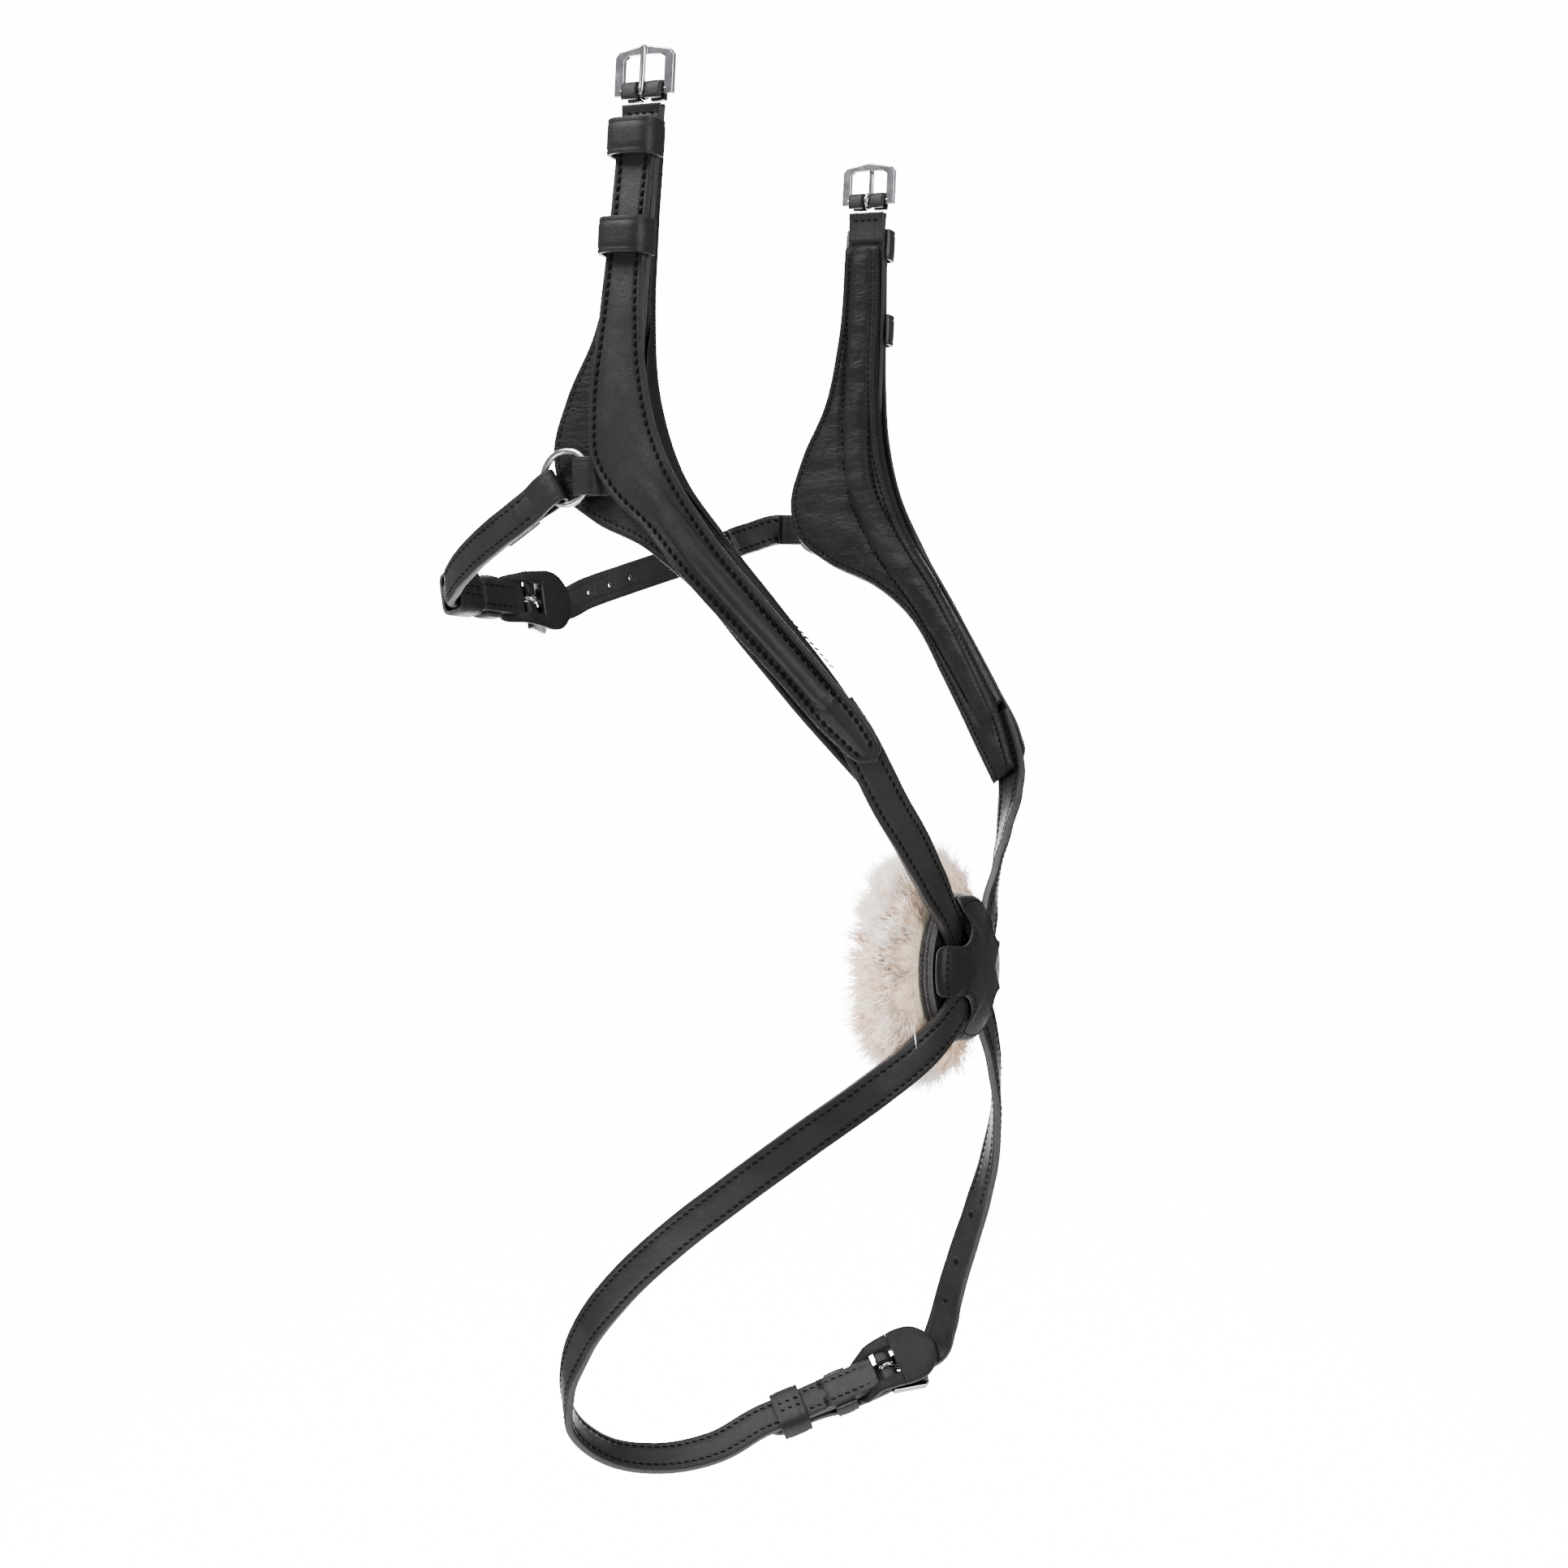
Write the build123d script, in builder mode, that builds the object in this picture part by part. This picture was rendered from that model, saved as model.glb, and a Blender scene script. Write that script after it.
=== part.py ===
"""Crossed (figure-eight) noseband for a horse's bridle, hanging as it does on the head.

Millimetres.  +X is the way the horse faces, +Y is its left and +Z is up.  The origin is
midway between the heel bars of the two top buckles, where the bridle's headpiece holds it.
Every curve of a strap is a short list of places, each with the way its outer face looks.
"""
from build123d import *
from math import cos, radians, sin, sqrt
import os

os.makedirs("parts", exist_ok=True)

# ---------------------------------------------------------------- driving dimensions
CHEEK_WIDTH = 16.0        # cheek strap, and the buckles that take the bridle's straps
NOSE_WIDTH = 14.0         # crossed straps over the nose and round the chin
JAW_WIDTH = 13.0          # strap behind the jaw
STRAP_THICK = 3.4         # two plies of leather sewn together
BILLET_THICK = 3.0        # single ply with the holes
TURNED = 0.1              # how much thicker and wider a strap is where its end is turned back
KEEPER_THICK = 1.8
GUARD_THICK = 1.8
GAP = 0.3                 # air between neighbouring layers and pieces

BAR_RADIUS = 1.3          # heel bar of every buckle
RUNNING = 0.08            # clearance of the tongue's eye on the bar
FOLD_INSIDE = 1.4         # radius of the leather's fold round a bar
FOLD_OUTSIDE = 3.3
FRAME_WIDTH = 24.4
FRAME_THICK = 2.5
FRAME_RISE = 16.3         # bar axis to the peak of the frame
FRAME_OPENING = 8.45      # half the clear width between the frame's sides
TONGUE_RADIUS = 1.1
EYE_RADIUS = BAR_RADIUS + RUNNING + TONGUE_RADIUS

TOP_HALF_WIDTH = 96.0     # half the distance between the two heel bars
TOP_LEAN = 3.0            # degrees that the cheek's top leans forward
CORE_THICK = 3.8
FACING_THICK = 2.6
CORE_LIFT = GAP
FACING_LIFT = CORE_LIFT + CORE_THICK + GAP

RING_CENTRE = (-28.0, -104.5, -139.8)
RING_RADIUS = 9.75        # to the middle of the wire
RING_WIRE = 1.25

DISC_CENTRE_Z = -321.5
DISC_RADIUS = 28.0
CLOSED_TILT = 22.0        # degrees that a fastened frame stands up off its strap

# The side of the face: height, half width in the plane X = 0, how much narrower it is for
# each millimetre forward, and the thickness of the padding there.
CHEEK_STATIONS = [
    (5, 93.6, 0.00, 3.0), (-20, 94.3, 0.00, 3.0), (-45, 97.0, 0.00, 4.4),
    (-75, 99.0, 0.00, 6.4), (-115, 99.8, 0.00, 6.8), (-141, 99.6, 0.01, 6.8),
    (-160, 98.9, 0.12, 6.6), (-178, 108.6, 0.45, 6.2), (-195, 109.7, 0.49, 5.8),
    (-225, 104.4, 0.45, 5.0), (-258, 93.0, 0.40, 4.0),
]
PADDING_FRONT = [(6.5, -20), (5.3, -50), (4.2, -80), (6.2, -110), (15.5, -139),
                 (34, -166.5), (54, -195.5), (71, -222.5), (81.5, -245)]
PADDING_REAR = [(71, -251.5), (56, -231), (38.5, -206), (20, -181), (3, -167), (-21, -155),
                (-34, -144), (-37.5, -130), (-32, -110), (-20.5, -87), (-14, -60), (-9.5, -20)]
FACING_FRONT = [(7.4, -12), (5.5, -45), (4.2, -80), (5.5, -103), (11, -127), (25, -154),
                (44, -181), (66.5, -212), (79.5, -231)]
FACING_TIP = [(79.5, -231), (82.4, -240), (77.5, -245), (68, -237.5)]
FACING_REAR = [(68, -237.5), (51.5, -216), (29, -188), (5.5, -160.5), (-9, -146.5),
               (-16.2, -135), (-17.5, -118), (-13.2, -80), (-10, -45), (-8.6, -12)]
# The cheek strap's middle line and its half width there.
CORE_LINE = [(-0.5, -8, 8.0), (-2.4, -45, 8.0), (-4.4, -80, 8.0), (-5.2, -104, 8.0),
             (-2.5, -125, 8.0), (6, -143, 8.0), (20, -163, 7.6), (34, -181, 7.0),
             (52, -204, 6.2), (64.5, -220.5, 5.6)]


# ---------------------------------------------------------------- helpers
def save(piece, name):
    """Label a finished piece and write it."""
    piece.part.label = name
    export_step(piece.part, f"parts/{name}.step")


def save_both_sides(piece, name):
    """Write a right-hand piece and its mirror image on the left."""
    save(piece, name.replace("SIDE", "right"))
    with BuildPart() as other:
        add(mirror(piece.part, about=Plane.XZ, mode=Mode.PRIVATE))
    save(other, name.replace("SIDE", "left"))


def face_of(z):
    """Half width at X = 0, lean and padding thickness at one height, between the stations."""
    for (z1, w1, k1, t1), (z2, w2, k2, t2) in zip(CHEEK_STATIONS, CHEEK_STATIONS[1:]):
        if z2 <= z <= z1:
            f = (z1 - z) / (z1 - z2)
            return w1 + f * (w2 - w1), k1 + f * (k2 - k1), t1 + f * (t2 - t1)
    raise ValueError("height outside the cheek")


def cheek_layer(lift, thick):
    """A sheet as wide as the cheek and 'thick', 'lift' off the padding's outer face."""
    with BuildPart() as sheet:
        for z, half, lean, pad in CHEEK_STATIONS:
            near, far = (-pad, 0) if lift is None else (lift, lift + thick)
            with BuildSketch(Plane.XY.offset(z)):
                with BuildLine():
                    Polyline([(x, -(half - lean * x + off))
                              for x, off in ((-60, near), (100, near), (100, far), (-60, far))],
                             close=True)
                make_face()
        loft(ruled=True)
    return sheet.part


def ribbon_edges(line):
    """Points either side of a line of (x, z, half width), out along its normals."""
    sides = ([], [])
    for i, (x, z, half_width) in enumerate(line):
        x1, z1, _ = line[max(i - 1, 0)]
        x2, z2, _ = line[min(i + 1, len(line) - 1)]
        run = sqrt((x2 - x1) ** 2 + (z2 - z1) ** 2)
        nx, nz = -(z2 - z1) / run, (x2 - x1) / run
        sides[0].append((x + nx * half_width, z + nz * half_width))
        sides[1].append((x - nx * half_width, z - nz * half_width))
    return sides


def resample(stations, lead_in, lead_out, steps=3):
    """Sections on a smooth curve through the stations: middle, direction, normal, thickness."""
    middles = [Vector(middle) for middle, _, _ in stations]
    normals = [Vector(normal).normalized() for _, normal, _ in stations]
    last = len(stations) - 1
    steps_between = [b - a for a, b in zip(middles, middles[1:])]
    slopes = [steps_between[0].normalized()]
    for back, ahead in zip(steps_between, steps_between[1:]):
        slopes.append((back * (ahead.length / back.length)
                       + ahead * (back.length / ahead.length)).normalized())
    slopes.append(steps_between[-1].normalized())
    if lead_in:
        slopes[0] = Vector(lead_in).normalized()
    if lead_out:
        slopes[last] = Vector(lead_out).normalized()
    sections = []
    for i in range(last):
        span = (middles[i + 1] - middles[i]).length
        for step in range(steps + (i == last - 1)):
            t = step / steps
            middle = (middles[i] * (2 * t ** 3 - 3 * t ** 2 + 1)
                      + middles[i + 1] * (3 * t ** 2 - 2 * t ** 3)
                      + slopes[i] * (span * (t ** 3 - 2 * t ** 2 + t))
                      + slopes[i + 1] * (span * (t ** 3 - t ** 2)))
            along = (middles[i] * (6 * t ** 2 - 6 * t) + middles[i + 1] * (6 * t - 6 * t ** 2)
                     + slopes[i] * (span * (3 * t ** 2 - 4 * t + 1))
                     + slopes[i + 1] * (span * (3 * t ** 2 - 2 * t)))
            normal = normals[i] * (1 - t) + normals[i + 1] * t
            thick = stations[i][2] * (1 - t) + stations[i + 1][2] * t
            sections.append((middle, along.normalized(), normal, thick))
    return sections


def strap(stations, width, lead_in=None, lead_out=None):
    """Loft a flat strap through stations of (middle, outer face's normal, thickness).

    lead_in and lead_out are the directions at the two ends, where a neighbour fixes them.
    """
    with BuildPart() as band:
        for middle, along, normal, thick in resample(stations, lead_in, lead_out):
            out = (normal - along * normal.dot(along)).normalized()
            with BuildSketch(Plane(origin=middle, x_dir=out, z_dir=along)):
                Rectangle(thick, width)
        loft(ruled=True)
    return band.part


class Buckle:
    """Places along a strap's buckle: s runs towards the frame's tip, w across, n outward."""

    def __init__(self, bar, along, outward, tilt=0.0):
        self.s = Vector(along).normalized()
        out = Vector(outward)
        self.n = (out - self.s * out.dot(self.s)).normalized()
        self.bar = Vector(bar)
        self.flat = Plane(origin=bar, x_dir=self.s, z_dir=self.n)
        self.side = Plane(origin=bar, x_dir=self.s, z_dir=self.s.cross(self.n))
        tip = self.s * cos(radians(tilt)) + self.n * sin(radians(tilt))
        top = self.n * cos(radians(tilt)) - self.s * sin(radians(tilt))
        self.frame = Plane(origin=bar, x_dir=tip, z_dir=top)
        self.frame_side = Plane(origin=bar, x_dir=tip, z_dir=tip.cross(top))
        self.across = Axis(bar, top.cross(tip))

    def at(self, s, n):
        """The point s along and n outward, on the strap's middle line."""
        return self.bar + self.s * s + self.n * n


def buckle_frame(place):
    """Flat stainless frame with a gabled tip, a notch for the tongue and a round heel bar."""
    half = FRAME_WIDTH / 2
    shoulder = FRAME_RISE - 1.9
    with BuildPart() as frame:
        with BuildSketch(place.frame):
            with BuildLine():
                Polyline([(-1.8, -half), (shoulder - 2, -half), (shoulder, -half + 1.6),
                          (FRAME_RISE, 0), (shoulder, half - 1.6), (shoulder - 2, half),
                          (-1.8, half)], close=True)
            make_face()
            with BuildLine():
                Polyline([(-4, -FRAME_OPENING), (11.4, -FRAME_OPENING), (12.6, -6.6),
                          (12.9, 0), (12.6, 6.6), (11.4, FRAME_OPENING),
                          (-4, FRAME_OPENING)], close=True)
            make_face(mode=Mode.SUBTRACT)
        extrude(amount=FRAME_THICK / 2, both=True)
        fillet(frame.edges(), 0.55)
        notch = Plane(origin=place.frame.origin + place.frame.z_dir * 2.0,
                      x_dir=place.frame.y_dir, z_dir=place.frame.x_dir)
        with BuildSketch(notch.offset(FRAME_RISE - 6)):
            Circle(1.25)
        extrude(amount=9, mode=Mode.SUBTRACT)
        across = Plane(origin=place.bar, x_dir=place.frame.x_dir, z_dir=place.frame.y_dir)
        with BuildSketch(across):
            Circle(BAR_RADIUS)
        extrude(amount=FRAME_OPENING + 1, both=True)
    return frame


def buckle_tongue(place, start, middle, tip):
    """Bent wire: an eye round the heel bar and a stem that ends on the frame's tip."""
    with BuildPart() as tongue:
        with BuildSketch(place.frame):
            with Locations((-EYE_RADIUS, 0)):
                Circle(TONGUE_RADIUS)
        revolve(axis=place.across)
        with BuildLine(place.frame_side) as stem:
            ThreePointArc(start, middle, tip)
        with BuildSketch(Plane(origin=stem.wire() @ 0, z_dir=stem.wire() % 0)):
            Circle(TONGUE_RADIUS)
        sweep()
        with Locations(stem.wire() @ 1):
            Sphere(TONGUE_RADIUS)
    return tongue


def folded_end(place, width, plies, length):
    """The strap's end: doubled back round the heel bar, with a slot for the tongue."""
    half = plies / 2
    with BuildPart() as end:
        with BuildSketch(place.side):
            with BuildLine():
                Polyline((0, FOLD_OUTSIDE), (-9, half), (-length, half), (-length, -half),
                         (-9, -half), (0, -FOLD_OUTSIDE))
                ThreePointArc((0, -FOLD_OUTSIDE), (FOLD_OUTSIDE, 0), (0, FOLD_OUTSIDE))
            make_face()
            with BuildLine():
                Polyline((0, FOLD_INSIDE), (-5.5, 0), (0, -FOLD_INSIDE))
                ThreePointArc((0, -FOLD_INSIDE), (FOLD_INSIDE, 0), (0, FOLD_INSIDE))
            make_face(mode=Mode.SUBTRACT)
        extrude(amount=width / 2, both=True)
        with BuildSketch(place.flat):
            with Locations((-1, 0)):
                SlotOverall(15, 4.4)
        extrude(amount=5, both=True, mode=Mode.SUBTRACT)
    return end.part


def ring_loop(place, width, ply, end_of_loop, drop=0.0, length=22.0):
    """A strap's end doubled round a ring whose middle is the place's origin."""
    cavity = RING_WIRE + 0.15
    first = sqrt(RING_RADIUS ** 2 - (width / 2) ** 2) - 0.8
    last = RING_RADIUS + 0.15
    outside = cavity + ply
    with BuildPart() as loop:
        with BuildSketch(place.side):
            with BuildLine():
                Polyline((first, outside), (last + 1, outside), (end_of_loop, drop + ply),
                         (length, drop + ply), (length, drop - ply), (end_of_loop, drop - ply),
                         (last + 1, -outside), (first, -outside))
                ThreePointArc((first, -outside), (first - outside, 0), (first, outside))
            make_face()
            with BuildLine():
                Polyline((first, cavity), (last, cavity))
                ThreePointArc((last, cavity), (last + cavity, 0), (last, -cavity))
                Polyline((last, -cavity), (first, -cavity))
                ThreePointArc((first, -cavity), (first - cavity, 0), (first, cavity))
            make_face(mode=Mode.SUBTRACT)
        extrude(amount=width / 2, both=True)
    return loop.part


def keeper(place, s, length, half_width, low, high, closed):
    """Leather band over the strap: a closed loop that slides, or a U sewn into the edges."""
    outer_half = half_width + KEEPER_THICK
    floor = low - KEEPER_THICK if closed else low
    across = Plane(origin=place.at(s - length / 2, 0), x_dir=place.flat.y_dir, z_dir=place.s)
    up = 1 if across.y_dir.dot(place.n) > 0 else -1
    with BuildPart() as band:
        with BuildSketch(across):
            with Locations((0, up * (floor + high + KEEPER_THICK) / 2)):
                RectangleRounded(2 * outer_half, high + KEEPER_THICK - floor, 1.7)
            with Locations((0, up * (low + high) / 2)):
                RectangleRounded(2 * half_width, high - low, 0.6, mode=Mode.SUBTRACT)
            if not closed:
                with Locations((0, up * low)):
                    Rectangle(2 * half_width, 3, mode=Mode.SUBTRACT)
        extrude(amount=length)
    return band


def buckle_guard(place, strap_width):
    """Leather tongue that keeps the buckle off the skin: its stem lies outside the strap,
    the strap comes up through its window, and its round head lies inside."""
    scale = strap_width / NOSE_WIDTH
    window = strap_width / 2 + 0.6
    head = 13.2 * scale
    half = GUARD_THICK / 2
    stem, inside = 3.3, -3.9
    with BuildPart() as guard:
        with BuildSketch(place.side):
            with BuildLine():
                Polyline([(-23, stem - half), (-14.5, stem - half), (-5.0, inside - half),
                          (22, inside - half + 0.8), (22, inside + half + 0.8),
                          (-3.6, inside + half), (-13.2, stem + half), (-23, stem + half)],
                         close=True)
            make_face()
        extrude(amount=head + 2, both=True)
        with BuildSketch(place.flat.offset(-9), mode=Mode.PRIVATE) as outline:
            with BuildLine():
                Polyline((-16.2, 6.7 * scale), (-23, 6.3 * scale), (-23, -6.3 * scale),
                         (-16.2, -6.7 * scale))
                Spline((-16.2, 6.7 * scale), (-13, 9.6 * scale), (-7, 11.0 * scale),
                       (2, 12.4 * scale), (10, head), (18, 10 * scale), (21.5, 0),
                       (18, -10 * scale), (10, -head), (2, -12.4 * scale),
                       (-7, -11.0 * scale), (-13, -9.6 * scale), (-16.2, -6.7 * scale))
            make_face()
            with BuildLine():
                Polyline([(-14.0, -window), (4.6, -window), (4.6, window), (-14.0, window)],
                         close=True)
            make_face(mode=Mode.SUBTRACT)
        extrude(outline.sketch, amount=18, mode=Mode.INTERSECT)
    return guard


def billet_run(place, tip_s):
    """Places of a billet from beyond the frame's tip, over the bar and under the keepers."""
    rise = [(20, 0.4), (14, 1.6), (7, 3.8), (0, 5.5), (-8, 6.2), (-16, 6.2), (-24, 6.05),
            (-30, 4.4), (-35, 3.8), (-41, 3.7)]
    run = [(place.at(s, n), place.n, BILLET_THICK) for s, n in rise]
    run.append((place.at(tip_s, 3.8), place.n, BILLET_THICK))
    return run


def punched(band, holes, slot):
    """A strap with round holes and one slot for the tongue, at (middle, outward, along) spots."""
    with BuildPart() as result:
        add(band)
        for middle, out, along in holes:
            below = Vector(middle) - Vector(out).normalized() * 6
            with BuildSketch(Plane(origin=below, x_dir=along, z_dir=out)):
                Circle(1.6)
            extrude(amount=12, mode=Mode.SUBTRACT)
        middle, out, along = slot
        below = Vector(middle) - Vector(out).normalized() * 6
        with BuildSketch(Plane(origin=below, x_dir=along, z_dir=out)):
            SlotOverall(9, 3.2)
        extrude(amount=12, mode=Mode.SUBTRACT)
    return result


# ---------------------------------------------------------------- cheek pieces, right then left
lean = radians(TOP_LEAN)
cheek_top = Buckle(bar=(0, -TOP_HALF_WIDTH, 0), along=(sin(lean), 0, cos(lean)),
                   outward=(0, -1, 0))

with BuildPart() as padding:
    with BuildSketch(Plane.XZ):
        with BuildLine():
            Spline(*PADDING_FRONT)
            Line(PADDING_FRONT[-1], PADDING_REAR[0])
            Spline(*PADDING_REAR)
            Line(PADDING_REAR[-1], PADDING_FRONT[0])
        make_face()
    extrude(amount=140)
    add(cheek_layer(None, 0), mode=Mode.INTERSECT)
save_both_sides(padding, "cheek_SIDE_padding")

ring_x, ring_y, ring_z = RING_CENTRE
tab_place = Buckle(bar=RING_CENTRE, along=(1, 0, 0), outward=(0, -1, 0))
with BuildPart() as facing:
    with BuildSketch(Plane.XZ):
        with BuildLine():
            Spline(*FACING_FRONT)
            Spline(*FACING_TIP, tangents=[(8.0, -13.0), (-9.5, 13.0)])
            Spline(*FACING_REAR)
            Line(FACING_REAR[-1], FACING_FRONT[0])
        make_face()
    extrude(amount=140)
    add(cheek_layer(FACING_LIFT, FACING_THICK), mode=Mode.INTERSECT)
    with BuildSketch(Plane.XZ):
        with Locations((ring_x + 7.8, ring_z)):
            Rectangle(15.0, 14.8)
    extrude(amount=140, mode=Mode.SUBTRACT)
save_both_sides(facing, "cheek_SIDE_facing")

with BuildPart() as core:
    with BuildSketch(Plane.XZ):
        with BuildLine():
            front_edge, rear_edge = ribbon_edges(CORE_LINE)
            Spline(*front_edge)
            Line(front_edge[-1], rear_edge[-1])
            Spline(*rear_edge)
            Line(rear_edge[0], front_edge[0])
        make_face()
    extrude(amount=140)
    add(cheek_layer(CORE_LIFT, CORE_THICK), mode=Mode.INTERSECT)
    add(folded_end(cheek_top, CHEEK_WIDTH, CORE_THICK, 12))
save_both_sides(core, "cheek_SIDE_strap")

with BuildPart() as ring:
    with BuildSketch(Plane.XY.offset(ring_z)):
        with Locations((ring_x + RING_RADIUS, ring_y)):
            Circle(RING_WIRE)
    revolve(axis=Axis(RING_CENTRE, (0, 1, 0)))
save_both_sides(ring, "cheek_SIDE_ring")

with BuildPart() as ring_tab:
    add(ring_loop(tab_place, 14.0, 1.5, end_of_loop=15.6, drop=-2.4, length=19.5))
save_both_sides(ring_tab, "cheek_SIDE_ring_tab")

save_both_sides(buckle_frame(cheek_top), "cheek_SIDE_buckle")
cheek_tongue = buckle_tongue(cheek_top, (0, EYE_RADIUS), (8, 1.9), (15.2, 2.05))
save_both_sides(cheek_tongue, "cheek_SIDE_buckle_tongue")

for name, along_strap, height in (("upper", -18.5, 4.7), ("lower", -54.5, 7.9)):
    band = keeper(cheek_top, along_strap, 13.0, CHEEK_WIDTH / 2 + 0.5, height - 3.4,
                  height + 5.8, closed=False)
    save_both_sides(band, f"cheek_SIDE_{name}_keeper")

# ---------------------------------------------------------------- crossed nose and chin straps
chin = Buckle(bar=(31.8, 46.0, -489.7), along=(0.782, 0.501, 0.371),
              outward=(-0.128, 0.712, -0.69), tilt=CLOSED_TILT)


def in_sandwich(x, z):
    """Middle of a nose strap between the padding and the facing, right side."""
    half, narrower, _ = face_of(z)
    return (x, -(half - narrower * x + CORE_LIFT + CORE_THICK / 2), z)


def nose_part(side, level):
    """Stations from the pad's end down to the middle of the nose disc."""
    run = [
        (in_sandwich(67.5, -224.0), (0.40, -0.89, -0.21)),
        (in_sandwich(73.0, -234.5), (0.40, -0.89, -0.21)),
        (in_sandwich(77.6, -246.0), (0.42, -0.87, -0.25)),
        ((80.4, -58.8, -258.0), (0.56, -0.76, -0.30)),
        ((83.2, -44.5, -273.0), (0.78, -0.52, -0.28)),
        ((85.0, -32.0, -287.0), (0.93, -0.30, -0.18)),
        ((86.3 + 0.4 * level, -19.0, -301.0), (1.0, -0.06, 0.0)),
        ((86.2 + level, -8.0, -313.0), (1, 0, 0)),
        ((86.2 + level, 0.0, DISC_CENTRE_Z), (1, 0, 0)),
    ]
    thicknesses = [2.7, 2.7, 2.9] + [STRAP_THICK] * (len(run) - 3)
    return [((x, side * -y, z), (nx, side * -ny, nz), thick)
            for ((x, y, z), (nx, ny, nz)), thick in zip(run, thicknesses)]


def as_stations(run, thick=STRAP_THICK):
    return [(middle, normal, thick) for middle, normal in run]


far_run = as_stations([
    ((86.2, 0.0, DISC_CENTRE_Z), (1, 0, 0)),
    ((86.2, 8.5, -330.5), (1, 0, 0)),
    ((86.4, 18.0, -342.5), (1, 0.04, 0)),
    ((86.0, 27.0, -357.0), (0.98, 0.16, 0.02)),
    ((82.8, 38.0, -381.0), (0.90, 0.42, 0.08)),
    ((75.2, 48.5, -404.0), (0.76, 0.64, 0.10)),
    ((66.0, 56.0, -426.0), (0.62, 0.78, 0.05)),
    ((57.6, 60.0, -446.5), (0.50, 0.86, -0.05)),
    ((52.2, 61.4, -462.7), (0.38, 0.90, -0.18)),
    ((50.2, 58.9, -474.0), (0.20, 0.86, -0.45)),
])
billet_chin = billet_run(chin, -55)
far_run[-1] = (far_run[-1][0], far_run[-1][1], 3.2)

run_from_right = nose_part(-1, 0.0)[:-1] + far_run + billet_chin
holes = [(chin.at(s, n), chin.n, chin.s) for s, n in ((-13, 6.2), (-33, 4.0))]
holes += [(far_run[i][0], far_run[i][1], Vector(far_run[i + 1][0]) - Vector(far_run[i][0]))
          for i in (6, 7, 8)]
strap_from_right = strap(run_from_right, NOSE_WIDTH, lead_out=-chin.s)
save(punched(strap_from_right, holes, (chin.at(7.4, 3.7), chin.n, chin.s)),
     "nose_strap_from_right")

UPPER_LEVEL = STRAP_THICK + GAP
near_run = as_stations([
    ((86.2 + UPPER_LEVEL, 0.0, DISC_CENTRE_Z), (1, 0, 0)),
    ((89.6, -8.5, -330.0), (1, 0, 0)),
    ((86.6, -20.0, -341.5), (0.97, -0.2, 0)),
    ((81.2, -30.5, -351.0), (0.80, -0.58, -0.04)),
    ((67.0, -45.5, -365.5), (0.55, -0.83, -0.10)),
    ((43.0, -57.0, -384.5), (0.35, -0.93, -0.15)),
    ((18.5, -63.5, -403.5), (0.20, -0.95, -0.20)),
    ((-6.5, -66.0, -423.0), (0.06, -0.97, -0.16)),
    ((-29.5, -65.0, -443.5), (-0.12, -0.97, -0.10)),
    ((-48.5, -60.0, -465.0), (-0.38, -0.90, -0.02)),
    ((-60.5, -52.0, -486.0), (-0.70, -0.65, -0.12)),
    ((-64.0, -42.5, -503.0), (-0.85, -0.20, -0.45)),
    ((-57.0, -30.0, -515.5), (-0.60, 0.15, -0.78)),
    ((-42.0, -14.5, -521.0), (-0.38, 0.42, -0.82)),
    ((-24.5, 3.0, -518.5), (-0.24, 0.60, -0.76)),
    (chin.at(-54, -0.3), chin.n),
    (chin.at(-44, 0.0), chin.n),
    (chin.at(-28, 0.0), chin.n),
])
with BuildPart() as strap_from_left:
    add(strap(nose_part(1, UPPER_LEVEL)[:-1] + near_run, NOSE_WIDTH, lead_out=chin.s))
    add(folded_end(chin, NOSE_WIDTH + TURNED, STRAP_THICK + TURNED, 30.2))
save(strap_from_left, "nose_strap_from_left")


def closed_buckle(place, name, width, slider_s):
    """Frame, tongue, guard and the two keepers of a fastened buckle."""
    save(buckle_frame(place), f"{name}_buckle")
    save(buckle_tongue(place, (2.6, 0.3), (8.5, 1.4), (15.6, 2.5)), f"{name}_buckle_tongue")
    save(buckle_guard(place, width), f"{name}_buckle_guard")
    save(keeper(place, -21.0, 9.0, width / 2 + 0.1, 0.0, 8.1, closed=False),
         f"{name}_keeper_fixed")
    save(keeper(place, slider_s, 12.0, width / 2 + 0.45, -2.3, 7.0, closed=True),
         f"{name}_keeper_sliding")


closed_buckle(chin, "chin", NOSE_WIDTH, -43.0)

# ---------------------------------------------------------------- nose disc and fleece
back = Plane(origin=(0, 0, DISC_CENTRE_Z), x_dir=(0, 1, 0), z_dir=(1, 0, 0))
SCALLOP_RADIUS = 10.0
SCALLOP_REACH = 26.2      # from the disc's middle to a scallop's middle
COVER_INSIDE = 92.9
COVER_RIM = 84.6
COVER_THICK = 1.8


def disc(radius, start, thick):
    with BuildPart() as plate:
        with BuildSketch(back.offset(start)):
            Circle(radius)
        extrude(amount=thick)
    return plate


def dome(inflate):
    """Solid of revolution under the cover's outer face, or under its inner face."""
    top = COVER_INSIDE + inflate
    with BuildPart() as solid:
        with BuildSketch(Plane.XY.offset(DISC_CENTRE_Z)):
            with BuildLine():
                Polyline((COVER_RIM, 0), (COVER_RIM, DISC_RADIUS))
                Line((COVER_RIM, DISC_RADIUS), (COVER_RIM + max(inflate, 0.01), DISC_RADIUS))
                Spline((COVER_RIM + max(inflate, 0.01), DISC_RADIUS), (top - 1.8, 20.5),
                       (top - 0.5, 15.0), (top, 7.0), (top, 0), tangents=[(0.6, -1), (0, -1)])
                Line((top, 0), (COVER_RIM, 0))
            make_face()
        revolve(axis=Axis((0, 0, DISC_CENTRE_Z), (1, 0, 0)))
    return solid.part


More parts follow.
